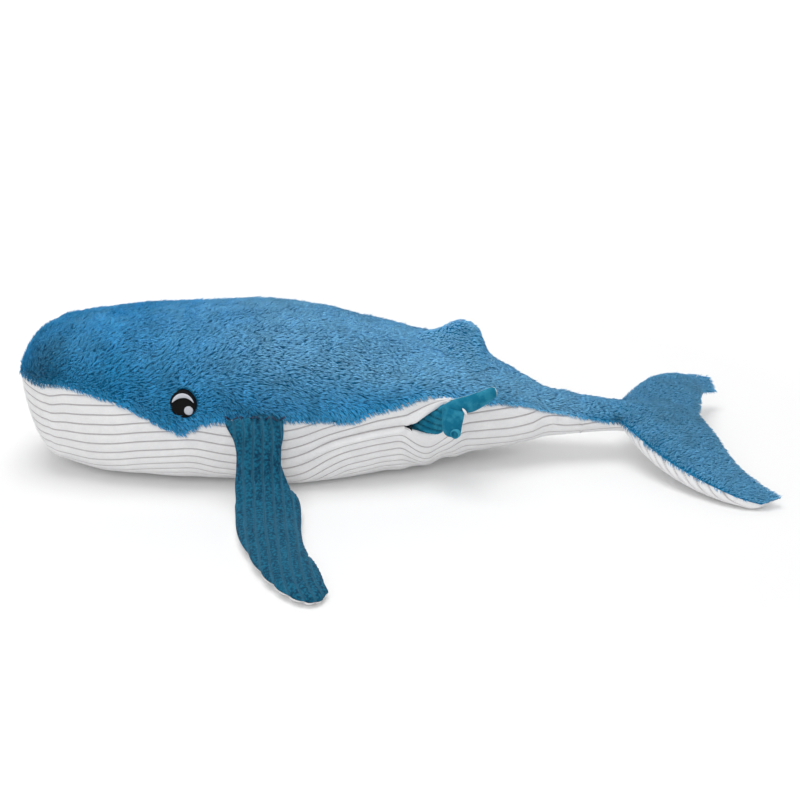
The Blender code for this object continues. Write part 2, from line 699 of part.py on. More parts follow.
def add_fin(kit):
    """The small stuffed dorsal fin, sewn to the centre seam of the back."""
    rows = []
    for share, rise_share in FIN_SHARES:
        x = FIN_X + FIN_LENGTH * (share - 0.5)
        half, _, widest, top, _, crown, _ = interpolate(TRUNK_SHARES, (x - NOSE_X) / BODY_LENGTH)
        seat = top * BODY_HEIGHT + SEAM_GAP + FIT_GAP
        thickness = FIN_HALF_THICKNESS * (FIN_EDGE_SHARE + (1 - FIN_EDGE_SHARE) * rise_share)
        ring = []
        for angle in arc(0, 180, FIN_STEPS):
            rise = FIN_RISE * rise_share
            across, upward = section_point(angle, thickness, rise, 0, FIN_FULLNESS, FIN_FULLNESS)
            ring.append(Vector((x, across, seat + upward)))
        for angle in arc(180, 360, FIN_STEPS)[1:-1]:
            across = thickness * math.cos(angle)
            level = (1 - (abs(across) / (half * BODY_HALF_WIDTH)) ** crown) ** (1 / crown)
            fall = (top - widest) * BODY_HEIGHT * (1 - level)
            ring.append(Vector((x, across, seat - fall)))
        rows.append(ring)
    add_piece(kit, "dorsal_fin", grid_mesh(rows, around=True, capped=True), "plush")


def slide_frame():
    """Directions of the pocket and the baby: out of the mouth, the baby's width and its back."""
    ahead = Vector((math.cos(SLIDE_TURN), math.sin(SLIDE_TURN), 0))
    outward = ahead * math.cos(SLIDE_TILT) + Z_AXIS * math.sin(SLIDE_TILT)
    back = Vector((math.sin(SLIDE_TURN), -math.cos(SLIDE_TURN), 0))
    return outward, back.cross(outward), back


def pocket_rows(start, end, first_round, inset):
    """Rings of the pocket, each in the plane of the whale's side, from its closed end outwards."""
    outward, width, _ = slide_frame()
    side = Vector((math.cos(FLANK_TURN), math.sin(FLANK_TURN), 0))
    side -= Z_AXIS * side.dot(width) / Z_AXIS.dot(width)
    mouth = Vector((MOUTH_X, MOUTH_Y, MOUTH_HEIGHT))
    rows = []
    for place, share in stops(start, end, POCKET_DEPTH / POCKET_PARTS, first_round, 0, inset):
        centre = mouth + outward * (place - POCKET_DEPTH)
        ring = []
        half_length = MOUTH_HALF_LENGTH - inset
        half_height = MOUTH_HALF_HEIGHT - inset
        sizes = (half_length, half_height, half_height, POCKET_FULLNESS, POCKET_FULLNESS)
        for angle in arc(0, 360, POCKET_SIDES)[:-1] if share else [0]:
            point = section_point(angle, *sizes)
            ring.append(centre + side * point[0] * share + Z_AXIS * point[1] * share)
        rows.append(ring)
    return rows


def add_pocket(kit):
    """The hole for the pocket, and the lining that hangs in it."""
    rows = pocket_rows(-FIT_GAP, POCKET_DEPTH + POCKET_OVERRUN, POCKET_ROUND, -FIT_GAP)
    kit["pocket_cutter"] = add_piece(kit, "pocket_hole", grid_mesh(rows, around=True, capped=True), None)
    sheets = [pocket_rows(0, POCKET_DEPTH, POCKET_ROUND, inset) for inset in (0, LINING)]
    add_piece(kit, "pocket_lining", shell_mesh(*sheets, around=True), "lining_cloth")


def baby_start():
    """Where the baby's nose lies: on the pocket's floor, near its closed end."""
    outward, width, _ = slide_frame()
    mouth = Vector((MOUTH_X, MOUTH_Y, MOUTH_HEIGHT))
    settle = MOUTH_HALF_HEIGHT * math.cos(SLIDE_TILT) - LINING - FIT_GAP - BABY_HALF_WIDTH
    return mouth - outward * (POCKET_DEPTH - LINING - BABY_NOSE_GAP) - width * settle


def baby_rows(panel, inset=0.0):
    """Rings of the baby's trunk, whose tail end lifts."""
    outward, width, back = slide_frame()
    start = baby_start()
    seam = SEAM_GAP / 2
    angles, lift = {
        "back": (arc(0, 180, BABY_STEPS), seam),
        "belly": (arc(180, 360, BABY_STEPS), -seam),
        "whole": (arc(0, 360, 2 * BABY_STEPS)[:-1], 0),
    }[panel]
    rows = []
    for place, share in stops(0, BABY_LENGTH, BABY_STEP, BABY_ROUND, 0, inset):
        wide, thick = interpolate(BABY_SHARES, place / BABY_LENGTH)
        bend = max(0.0, place / BABY_LENGTH - BABY_BEND_SHARE) / (1 - BABY_BEND_SHARE)
        centre = start + outward * place + width * BABY_TAIL_LIFT * bend**2
        half_width = wide * BABY_HALF_WIDTH - inset
        half_thickness = thick * BABY_HALF_THICKNESS - inset
        sizes = (half_width, half_thickness, half_thickness, BABY_FULLNESS, BABY_FULLNESS)
        ring = []
        for angle in angles if share else angles[:1]:
            point = section_point(angle, *sizes)
            ring.append(centre + width * point[0] * share + back * (point[1] * share + lift))
        rows.append(ring)
    return rows


def add_baby(kit):
    """The baby whale, nose first in the pocket."""
    outward, width, back = slide_frame()
    pivot = empty("baby_slide", baby_start(), kit["parts"])
    for panel, fabric in (("back", "teal_velour"), ("belly", "corduroy")):
        sheets = [baby_rows(panel, inset) for inset in (0, BABY_SKIN)]
        add_piece(kit, f"baby_{panel}_cover", shell_mesh(*sheets), fabric, pivot)
    rows = baby_rows("whole", BABY_SKIN + FIT_GAP)
    add_piece(kit, "baby_stuffing", grid_mesh(rows, around=True, capped=True), "fibre", pivot)
    root = pivot.location + outward * BABY_LENGTH + width * BABY_TAIL_LIFT
    frame = (root, outward, width, back)
    sizes = (BABY_FLUKE_LENGTH, BABY_FLUKE_HALF_SPAN, BABY_HALF_THICKNESS, BABY_FLUKE_HALF_THICKNESS)
    fabrics = ("teal_velour", "corduroy")
    fluke_pieces(kit, "baby_fluke", BABY_FLUKE_SHARES, frame, sizes, BABY_SKIN, fabrics, pivot)


def main():
    for thing in list(bpy.data.objects):
        bpy.data.objects.remove(thing, do_unlink=True)
    home = bpy.context.scene.collection
    parts = bpy.data.collections.new("Plush whale")
    cutters = bpy.data.collections.new("Cutters")
    home.children.link(parts)
    home.children.link(cutters)
    layer = bpy.context.view_layer
    layer.active_layer_collection = layer.layer_collection
    fabrics = {
        "plush": material("Blue plush", (0.045, 0.205, 0.402), 0.95),
        "corduroy": material("White corduroy", (0.752, 0.745, 0.738), 0.9),
        "teal_corduroy": material("Teal corduroy", (0.010, 0.114, 0.205), 0.85),
        "teal_velour": material("Teal velour", (0.005, 0.168, 0.278), 0.8),
        "fibre": material("Polyester fibre", (0.855, 0.855, 0.855), 1.0),
        "lining_cloth": material("Pocket lining", (0.680, 0.680, 0.680), 0.9),
        "black_thread": material("Black embroidery", (0.006, 0.006, 0.008), 0.45),
        "pale_thread": material("White embroidery", (0.800, 0.810, 0.830), 0.45),
    }
    kit = {"home": home, "parts": parts, "cutters": cutters, "fabrics": fabrics}
    add_pocket(kit)
    add_body(kit)
    add_stock(kit)
    add_flukes(kit)
    for name, side in (("left", -1), ("right", 1)):
        add_flipper(kit, name + "_flipper", side)
        add_eye(kit, name + "_eye", side)
    add_fin(kit)
    add_baby(kit)


main()
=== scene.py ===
"""Dresses the plush whale: long-pile back, corduroy belly and flippers, embroidered eyes, pocket and baby."""

import math

import bpy
import numpy as np
from bpy.props import FloatProperty, FloatVectorProperty, PointerProperty
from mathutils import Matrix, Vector
from mathutils.kdtree import KDTree


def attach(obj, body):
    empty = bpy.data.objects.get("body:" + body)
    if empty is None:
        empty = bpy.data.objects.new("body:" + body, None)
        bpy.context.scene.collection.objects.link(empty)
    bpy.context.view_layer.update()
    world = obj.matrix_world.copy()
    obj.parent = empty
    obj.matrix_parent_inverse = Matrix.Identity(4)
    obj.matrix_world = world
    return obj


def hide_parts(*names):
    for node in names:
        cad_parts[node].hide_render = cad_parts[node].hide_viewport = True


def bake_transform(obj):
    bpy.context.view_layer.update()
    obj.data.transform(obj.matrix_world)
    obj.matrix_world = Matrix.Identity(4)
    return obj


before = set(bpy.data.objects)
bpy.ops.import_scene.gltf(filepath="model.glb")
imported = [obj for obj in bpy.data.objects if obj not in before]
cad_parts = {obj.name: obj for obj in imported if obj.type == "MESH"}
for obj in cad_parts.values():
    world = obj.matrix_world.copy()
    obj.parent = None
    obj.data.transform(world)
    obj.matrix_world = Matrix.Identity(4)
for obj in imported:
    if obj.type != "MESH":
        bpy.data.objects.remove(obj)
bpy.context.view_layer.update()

bl_info = {
    "name": "Plush whale",
    "version": (1, 0, 0),
    "blender": (4, 5, 0),
    "location": "View3D > Sidebar > Plush whale",
    "description": "Builds a large plush whale with a baby whale in its pocket",
    "category": "Object",
}

# The trunk as in the CAD: length to the tail bend, half width, height and nose
LENGTH = 0.527
HALF_WIDTH = 0.099
HEIGHT = 0.163
NOSE = -0.368
NOSE_ROUND = 0.042
CHIN_FULLNESS = 3.2
BEND_X = 0.159
SPLIT_X = 0.189
HINGE_X = 0.219
HINGE_HEIGHT = 0.0418

# Share of the length, half width, bottom, widest line, top, belly fullness, back fullness, seam angle
TRUNK = [
    (0.000, 0.54, 0.330, 0.600, 0.790, 3.0, 2.2, 0),
    (0.030, 0.62, 0.165, 0.600, 0.835, 3.2, 2.2, 1.5),
    (0.055, 0.68, 0.078, 0.595, 0.850, 3.4, 2.2, 3.5),
    (0.101, 0.74, 0.027, 0.587, 0.893, 3.5, 2.2, 5),
    (0.146, 0.81, 0.008, 0.553, 0.913, 3.8, 2.2, 4.3),
    (0.192, 0.87, 0.000, 0.517, 0.933, 4.0, 2.2, 3.7),
    (0.237, 0.91, 0.000, 0.454, 0.950, 4.0, 2.2, 3),
    (0.305, 0.96, 0.000, 0.390, 0.961, 4.0, 2.2, 0),
    (0.351, 0.98, 0.000, 0.431, 0.964, 4.0, 2.2, 0),
    (0.442, 1.00, 0.000, 0.477, 0.975, 5.0, 2.2, 0),
    (0.510, 0.99, 0.000, 0.459, 0.958, 6.5, 2.2, 0),
    (0.578, 0.95, 0.000, 0.459, 0.928, 5.2, 2.2, 0),
    (0.647, 0.89, 0.000, 0.473, 0.856, 4.2, 2.2, 0),
    (0.716, 0.81, 0.008, 0.503, 0.795, 3.8, 2.2, 2),
    (0.761, 0.74, 0.021, 0.505, 0.763, 3.4, 2.2, 9),
    (0.807, 0.66, 0.048, 0.490, 0.723, 3.0, 2.1, 8),
    (0.859, 0.56, 0.072, 0.450, 0.663, 2.8, 2.1, 4),
    (0.901, 0.48, 0.078, 0.383, 0.602, 2.4, 2.0, 16),
    (0.959, 0.38, 0.105, 0.316, 0.493, 2.2, 2.0, 24),
    (0.983, 0.326, 0.130, 0.288, 0.440, 2.0, 2.0, 26),
    (1.000, 0.303, 0.137, 0.279, 0.423, 2.0, 2.0, 26),
    (1.024, 0.288, 0.138, 0.278, 0.410, 2.0, 2.0, 22),
    (1.060, 0.256, 0.150, 0.268, 0.378, 2.0, 2.0, 13),
    (1.114, 0.217, 0.158, 0.257, 0.345, 2.0, 2.0, 0),
    (1.182, 0.217, 0.158, 0.257, 0.345, 2.0, 2.0, 0),
]

# The groove that runs into the pocket's slit: X, its distance from the keel,
# and the rib pitch above and below it as shares
POCKET_GROOVE = [
    (-0.336, 0.0718, 0.92, 1.10),
    (-0.310, 0.0816, 1.04, 1.15),
    (-0.280, 0.0959, 1.06, 1.00),
    (-0.240, 0.1115, 1.02, 0.88),
    (-0.200, 0.1216, 0.99, 0.81),
    (-0.160, 0.1190, 1.03, 0.94),
    (-0.110, 0.1197, 1.01, 1.07),
    (-0.085, 0.1226, 0.98, 1.07),
    (-0.060, 0.1275, 0.86, 0.90),
    (-0.040, 0.1278, 0.86, 0.81),
    (-0.010, 0.1245, 1.05, 0.80),
    (0.020, 0.1170, 1.16, 0.81),
    (0.040, 0.1088, 1.20, 0.83),
    (0.080, 0.0928, 1.07, 1.05),
    (0.120, 0.0796, 1.05, 1.18),
    (0.190, 0.0650, 1.05, 1.15),
]

# The pocket's slit: X, its lower lip and its upper lip
SLIT = [
    (0.0120, 0.0600, 0.0605),
    (0.0165, 0.0572, 0.0642),
    (0.0235, 0.0530, 0.0688),
    (0.0320, 0.0495, 0.0745),
    (0.0400, 0.0500, 0.0790),
    (0.0470, 0.0540, 0.0815),
    (0.0560, 0.0590, 0.0815),
    (0.0640, 0.0635, 0.0745),
    (0.0690, 0.0660, 0.0662),
]

# Flukes: leading and trailing point as shares of length, half span and height, thickness, drop, openness
FLUKE_LENGTH = 0.149
FLUKE_HALF_SPAN = 0.136
FLUKE_HALF_THICKNESS = 0.016
UNDER_BULGE = 0.3
FLUKES = [
    (0.855, -1.01, 0.15, 0.985, -0.950, 0.22, 0.22, 2.4, 0.0),
    (0.745, -0.99, 0.24, 0.880, -0.820, 0.32, 0.34, 1.85, 0.0),
    (0.620, -0.92, 0.35, 0.780, -0.670, 0.44, 0.50, 1.8, 0.0),
    (0.450, -0.76, 0.49, 0.706, -0.480, 0.60, 0.64, 1.8, 0.0),
    (0.270, -0.54, 0.68, 0.650, -0.290, 0.79, 0.76, 1.7, 0.0),
    (0.125, -0.31, 0.90, 0.604, -0.140, 0.90, 0.84, 1.5, 0.0),
    (0.050, -0.157, 1.00, 0.580, -0.055, 0.95, 0.92, 1.15, 0.0),
    (0.044, -0.080, 1.02, 0.575, -0.015, 0.97, 0.97, 1.05, 0.66),
    (0.043, 0.000, 1.02, 0.575, 0.020, 0.94, 0.95, 1.0, 1.0),
    (0.044, 0.080, 0.97, 0.580, 0.070, 0.84, 0.88, 0.98, 0.66),
    (0.050, 0.157, 0.94, 0.590, 0.140, 0.76, 0.82, 0.95, 0.0),
    (0.120, 0.28, 0.99, 0.622, 0.245, 0.78, 0.84, 0.9, 0.0),
    (0.238, 0.46, 1.08, 0.642, 0.375, 0.84, 0.86, 0.8, 0.0),
    (0.366, 0.635, 1.07, 0.664, 0.500, 0.84, 0.80, 0.7, 0.0),
    (0.520, 0.78, 0.95, 0.692, 0.625, 0.76, 0.62, 0.7, 0.0),
    (0.670, 0.86, 0.85, 0.745, 0.740, 0.62, 0.45, 0.7, 0.0),
    (0.785, 0.90, 0.82, 0.828, 0.850, 0.46, 0.28, 0.7, 0.0),
]

# Flipper from its sewn root: along, outwards, height, half width, half thickness,
# and the ribs that its centre line has passed
FLIPPER_LENGTH = 0.256
FLIPPER_HALF_WIDTH = 0.0295
FLIPPER_HALF_THICKNESS = 0.009
FLIPPER_HINGE = (-0.127, 0.1049, 0.077)
FLIPPER_ROOT = 0.0054
FLIPPER = [
    (-0.010, 0.000, 1.000, 0.97, 0.60, 0.45),
    (0.002, 0.028, 0.860, 0.84, 0.74, 0.60),
    (0.006, 0.050, 0.680, 0.72, 0.92, 0.65),
    (0.008, 0.075, 0.490, 0.72, 1.00, 0.75),
    (0.016, 0.115, 0.300, 0.84, 1.00, 0.92),
    (0.038, 0.178, 0.180, 1.01, 1.00, 1.30),
    (0.048, 0.275, 0.125, 1.02, 1.00, 1.28),
    (0.062, 0.385, 0.117, 0.95, 1.00, 1.40),
    (0.095, 0.525, 0.115, 0.85, 0.98, 1.80),
    (0.149, 0.665, 0.110, 0.81, 0.92, 2.90),
    (0.205, 0.780, 0.095, 0.66, 0.80, 3.90),
    (0.247, 0.836, 0.075, 0.44, 0.60, 4.45),
    (0.264, 0.851, 0.060, 0.25, 0.45, 4.65),
]

# Dorsal fin outline: share of its length, share of its rise
FIN_X = 0.055
FIN_LENGTH = 0.090
FIN_RISE = 0.033
FIN_HALF_THICKNESS = 0.015
FIN = [
    (0.00, 0.10),
    (0.17, 0.24),
    (0.33, 0.44),
    (0.41, 0.56),
    (0.51, 0.79),
    (0.62, 0.98),
    (0.69, 1.02),
    (0.76, 0.99),
    (0.82, 0.87),
    (0.86, 0.61),
    (0.90, 0.37),
    (0.96, 0.22),
    (1.00, 0.15),
]

# Eyes
EYE_X = -0.198
EYE_HEIGHT = 0.0900
EYE_RADIUS = 0.0127
GLINT_RADIUS = 0.0043
GLINT_BEHIND = 0.0052
GLINT_BELOW = 0.0050

# Baby whale: where its nose lies, the directions out of the pocket, of its width and of its back
BABY_START = (-0.0602, -0.0217, 0.0264)
SLIDE_TURN = math.radians(-25)
SLIDE_TILT = math.radians(15)
BABY_LENGTH = 0.141
BABY_HALF_WIDTH = 0.0142
BABY_HALF_THICKNESS = 0.0115
BABY_ROUND = 0.014
BABY_TAIL_LIFT = 0.0165
BABY_FLUKE_LENGTH = 0.045
BABY_FLUKE_HALF_SPAN = 0.027
BABY_FLUKE_HALF_THICKNESS = 0.0065
BABY = [
    (0.00, 0.80, 0.78),
    (0.15, 0.94, 0.92),
    (0.35, 1.00, 1.05),
    (0.55, 1.00, 1.22),
    (0.64, 1.00, 1.20),
    (0.72, 0.98, 1.02),
    (0.78, 0.96, 0.86),
    (0.85, 0.92, 0.74),
    (0.92, 0.82, 0.66),
    (1.00, 0.58, 0.55),
    (1.10, 0.45, 0.50),
]
BABY_FLUKES = [
    (-0.08, -0.86, 1.20, 0.08, -0.88, 1.20, 0.40, 1.0, 0.0),
    (-0.20, -0.72, 1.15, 0.15, -0.78, 1.15, 0.85, 1.0, 0.0),
    (-0.24, -0.50, 1.08, 0.20, -0.58, 1.10, 1.00, 1.0, 0.0),
    (-0.23, -0.24, 0.95, 0.27, -0.30, 1.00, 1.00, 1.0, 0.0),
    (-0.20, 0.12, 0.62, 0.31, -0.06, 0.75, 1.00, 1.0, 0.0),
    (-0.12, 0.31, 0.42, 0.29, -0.02, 0.50, 0.95, 1.0, 1.0),
    (0.06, 0.41, 0.34, 0.27, -0.12, 0.36, 0.95, 1.0, 0.0),
    (0.34, 0.45, 0.05, 0.42, -0.15, 0.05, 1.00, 1.0, 0.0),
    (0.53, 0.50, -0.17, 0.60, -0.06, -0.17, 0.95, 1.0, 0.0),
    (0.75, 0.56, -0.45, 0.82, 0.10, -0.45, 0.85, 1.0, 0.0),
    (0.88, 0.60, -0.62, 0.95, 0.24, -0.62, 0.60, 1.0, 0.0),
    (0.95, 0.55, -0.70, 0.97, 0.38, -0.70, 0.40, 1.0, 0.0),
]

# Places across one corduroy rib, from groove to groove
RIB_STEPS = (0.0, 0.05, 0.11, 0.2, 0.35, 0.5, 0.65, 0.8, 0.89, 0.95)

# How far the plush ground lies inside the surface that its pile fills out, on the back and on thin parts
BACK_INSET = 0.0052
THIN_INSET = 0.0035
FIN_SINK = 0.0035

# The narrow tail's ground: how far it laps under the back, its row spacing and its columns
TAIL_LAP = 0.002
TAIL_STEP = 0.004
TAIL_COLUMNS = 40

# Points of one tuft: three at its root, three at its bend and its tip
TUFT_POINTS = 7

# Where the back's pile is cut into pieces, and the seeds that its tufts start from
PILE_CUTS = (NOSE - 1, -0.275, -0.205, -0.130, -0.055, 0.025, 0.12, SPLIT_X + 1)
PILE_SEED = 40
PILE_SEED_STEP = 30

# Points nearer than this are sewn into one
MERGE_DISTANCE = 0.00003

# The pouch behind the slit: depth of each ring, and its share of the slit's ring
POUCH_RINGS = (
    (0, 1.0),
    (0.008, 0.98),
    (0.02, 0.93),
    (0.045, 0.85),
    (0.075, 0.7),
    (0.1, 0.5),
    (0.115, 0.25),
    (0.12, 0.0),
)

# Whip stitches at a flipper's root: how many, where the first lies from the hinge, and their pitch and thread
STITCH_COUNT = 8
STITCH_START = -0.0285
STITCH_PITCH = 0.0074
STITCH_RADIUS = 0.0012
STITCH_LENGTH = 0.0095

# The view and the lights: name, place, size and power of each
CAMERA_TILT = math.radians(22)
CAMERA_TARGET = (0.007, 0, 0.057)
CAMERA_DISTANCE = 1.8
LIGHT_TARGET = (0, 0, 0.05)
LIGHTS = (
    ("key_light", (-0.25, 0.05, 2.2), 1.6, 22.0),
    ("front_light", (-0.5, -2.0, 1.3), 1.6, 10.0),
    ("back_light", (0.3, 1.6, 1.4), 1.4, 4.0),
)


# ---- smooth curves, lumps and sections


def curve(rows, places):
    """Columns of a table at the given places, on a smooth curve through its rows."""
    rows = np.array(rows, float)
    places = np.asarray(places, float)
    x, y = rows[:, 0], rows[:, 1:]
    i = np.clip(np.searchsorted(x, places, side="right") - 1, 0, len(x) - 2)
    before, after = np.maximum(i - 1, 0), np.minimum(i + 2, len(x) - 1)
    span = (x[i + 1] - x[i])[..., None]
    share = (places - x[i])[..., None] / span
    rise = (y[i + 1] - y[before]) * span / (x[i + 1] - x[before])[..., None]
    fall = (y[after] - y[i]) * span / (x[after] - x[i])[..., None]
    change = y[i + 1] - y[i]
    cubic = (rise + fall - 2 * change) * share**3 + (3 * change - 2 * rise - fall) * share**2
    return np.moveaxis(y[i] + rise * share + cubic, -1, 0)


def lumps(points, size, seed):
    """Smooth random values between -1 and 1 at points, with lumps of about the given size."""
    grid = np.random.default_rng(seed).uniform(-1, 1, (24, 24, 24))
    at = np.asarray(points, float) / size + 1200.0
    cell = np.floor(at).astype(int)
    part = at - cell
    part = part * part * (3 - 2 * part)
    total = 0.0
    for step in np.ndindex(2, 2, 2):
        index = (cell + step) % 24
        weight = np.where(np.array(step) == 1, part, 1 - part).prod(-1)
        total = total + weight * grid[index[..., 0], index[..., 1], index[..., 2]]
    return total


def unit(vectors):
    """Vectors at length 1."""
    return vectors / np.maximum(np.linalg.norm(vectors, axis=-1, keepdims=True), 1e-12)


def power(value, exponent):
    """A power that keeps the sign."""
    return np.sign(value) * np.abs(value) ** exponent


def hump(distance, width):
    """1 at no distance, fading to 0 over about the width."""
    return np.exp(-((distance / width) ** 2))


def ease(value, low, high):
    """0 below low, 1 above high, and a smooth change between them."""
    share = np.clip((value - low) / (high - low), 0, 1)
    return share * share * (3 - 2 * share)


def trunk_point(x, angle):
    """A point of the trunk's surface at a length and at an angle round its section."""
    half, bottom, widest, top, keel, crown, _ = curve(TRUNK, (x - NOSE) / LENGTH)
    early = np.clip((x - NOSE) / NOSE_ROUND, 0, 1)
    share = np.sqrt(1 - (1 - early) ** 2)
    up = np.sin(angle) >= 0
    chin = np.where(up, share, (1 - (1 - early) ** CHIN_FULLNESS) ** (1 / CHIN_FULLNESS))
    fullness = np.where(up, crown, keel)
    across = power(np.cos(angle), 2 / fullness) * half * HALF_WIDTH * share
    upward = power(np.sin(angle), 2 / fullness) * np.where(up, top - widest, widest - bottom) * HEIGHT
    return np.stack([x + 0 * across, across, np.maximum(widest * HEIGHT + upward * chin, 0.0)], -1)


def seam_angle(x):
    """Angle above the widest line of the seam between back and belly."""
    return np.radians(curve(TRUNK, (x - NOSE) / LENGTH)[6])


def nose_stops(last, step):
    """Lengths along the trunk, close together where the nose rounds."""
    turn = np.linspace(0, math.pi / 2, 18)[:-1]
    rounded = NOSE + NOSE_ROUND * (1 - np.cos(turn))
    return np.concatenate([rounded, np.arange(NOSE + NOSE_ROUND, last - step / 2, step), [last]])


def normals_of(grid):
    """Normals of a grid of points, outwards where its rows run along and its columns round the left side."""
    return unit(np.cross(np.gradient(grid, axis=1), np.gradient(grid, axis=0)))


def stuffing_lumps(points):
    """How far the uneven stuffing pushes the surface out or in."""
    return 0.0016 * lumps(points, 0.055, 3) + 0.0007 * lumps(points, 0.022, 4)


# ---- meshes


def select_only(piece):
    """Makes a piece the only selected and the active object."""
    bpy.ops.object.select_all(action="DESELECT")
    bpy.context.view_layer.objects.active = piece
    piece.select_set(True)


def link_mesh(name, mesh, material):
    """A smooth object of a mesh, in the scene."""
    mesh.materials.append(material)
    mesh.shade_smooth()
    piece = bpy.data.objects.new(name, mesh)
    bpy.context.scene.collection.objects.link(piece)
    return piece


def grid_piece(name, grids, material):
    """One object from grids of points, each with named values and its own part of the UV map.

    Each grid is (points, values, flip), and points that fall together are merged.
    """
    points, faces, patches, start = [], [], [], 0
    values = {key: [] for key in grids[0][1]}
    for number, (grid, named, flip) in enumerate(grids):
        rows, columns = grid.shape[:2]
        index = np.arange(rows * columns).reshape(rows, columns) + start
        corners = [index[:-1, :-1], index[:-1, 1:], index[1:, 1:], index[1:, :-1]]
        faces.append(np.stack(corners[::-1] if flip else corners, -1).reshape(-1, 4))
        points.append(grid.reshape(-1, 3))
        for key in values:
            values[key].append(np.broadcast_to(named[key], (rows, columns)).reshape(-1))
        across, along = np.meshgrid(np.linspace(0.01, 0.99, columns), np.linspace(0.01, 0.99, rows))
        patches.append(np.stack([along, (number + across) / len(grids)], -1).reshape(-1, 2))
        start += rows * columns
    mesh = bpy.data.meshes.new(name)
    faces = np.concatenate(faces)
    mesh.from_pydata(np.concatenate(points).tolist(), [], faces.tolist())
    uv = mesh.uv_layers.new(name="OFBake")
    uv.data.foreach_set("uv", np.concatenate(patches)[faces.reshape(-1)].astype(np.float32).reshape(-1))
    for key, numbers in values.items():
        layer = mesh.attributes.new(key, "FLOAT", "POINT")
        layer.data.foreach_set("value", np.concatenate(numbers).astype(np.float32))
    piece = link_mesh(name, mesh, material)
    select_only(piece)
    bpy.ops.object.mode_set(mode="EDIT")
    bpy.ops.mesh.select_all(action="SELECT")
    bpy.ops.mesh.remove_doubles(threshold=MERGE_DISTANCE)
    bpy.ops.mesh.dissolve_degenerate(threshold=MERGE_DISTANCE)
    bpy.ops.object.mode_set(mode="OBJECT")
    return piece


def dress(piece, body, slot, *nodes, fill=None):
    """Hangs a piece on its body, or bakes its place in where it lies between two, and hides the parts it
    replaces.
    """
    if isinstance(body, str):
        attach(piece, body)
    else:
        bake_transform(piece)
    if nodes:
        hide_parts(*nodes)
    return piece


TAIL_BEND = ("body", "tail", 0.132, 0.186)
FLUKE_BEND = ("tail", "flukes", 0.197, 0.240)


# ---- finishes


def cloth(red, green, blue):
    """A colour as the eye reads it, 0 to 255, turned into the light it reflects."""
    shares = [value / 255 for value in (red, green, blue)]
    return tuple(share / 12.92 if share <= 0.04045 else ((share + 0.055) / 1.055) ** 2.4 for share in shares)


def new_group(name, inputs, outputs):
    """An empty shader node group with named inputs and outputs."""
    group = bpy.data.node_groups.new(name, "ShaderNodeTree")
    for label, kind, value in inputs:
        socket = group.interface.new_socket(label, in_out="INPUT", socket_type=kind)
        socket.default_value = value
    for label, kind in outputs:
        group.interface.new_socket(label, in_out="OUTPUT", socket_type=kind)
    return group, group.nodes.new("NodeGroupInput"), group.nodes.new("NodeGroupOutput")


def add_node(tree, kind, links=None, **settings):
    """A node with its settings and with what feeds it, by socket name or number."""
    node = tree.nodes.new(kind)
    for key, value in settings.items():
        setattr(node, key, value)
    for key, source in (links or {}).items():
        if isinstance(source, (int, float, tuple)):
            node.inputs[key].default_value = source
        else:
            tree.links.new(source, node.inputs[key])
    return node


def math_node(tree, operation, *sources):
    """A math node's output."""
    return add_node(tree, "ShaderNodeMath", dict(enumerate(sources)), operation=operation).outputs[0]


def mix_colors(tree, factor, first, second):
    """A colour between two others."""
    links = {0: factor, 6: first, 7: second}
    return add_node(tree, "ShaderNodeMix", links, data_type="RGBA").outputs[2]


def spread(tree, source, low, high, first=0.0, last=1.0):
    """A value carried from one range to another, and held at its ends."""
    links = {0: source, 1: low, 2: high, 3: first, 4: last}
    return add_node(tree, "ShaderNodeMapRange", links).outputs[0]


def object_place(tree):
    """Where a point lies on the whale at rest."""
    return add_node(tree, "ShaderNodeTexCoord").outputs["Object"]


def noise_at(tree, place, scale, detail):
    """Smooth noise at a place."""
    links = {"Vector": place, "Scale": scale, "Detail": detail}
    return add_node(tree, "ShaderNodeTexNoise", links).outputs[0]


def stored(tree, name):
    """A named value of the mesh."""
    return add_node(tree, "ShaderNodeAttribute", attribute_name=name).outputs["Fac"]


def seen_directly(tree):
    """1 on rays from the camera, from a mirror or through glass."""
    path = add_node(tree, "ShaderNodeLightPath")
    seen = math_node(tree, "MAXIMUM", path.outputs["Is Camera Ray"], path.outputs["Is Glossy Ray"])
    return math_node(tree, "MAXIMUM", seen, path.outputs["Is Transmission Ray"])


def darker(color, share):
    """A share of a colour."""
    return tuple(value * share for value in color)


def lighter(color, share):
    """A colour moved towards white by a share."""
    return tuple(value + (1 - value) * share for value in color)


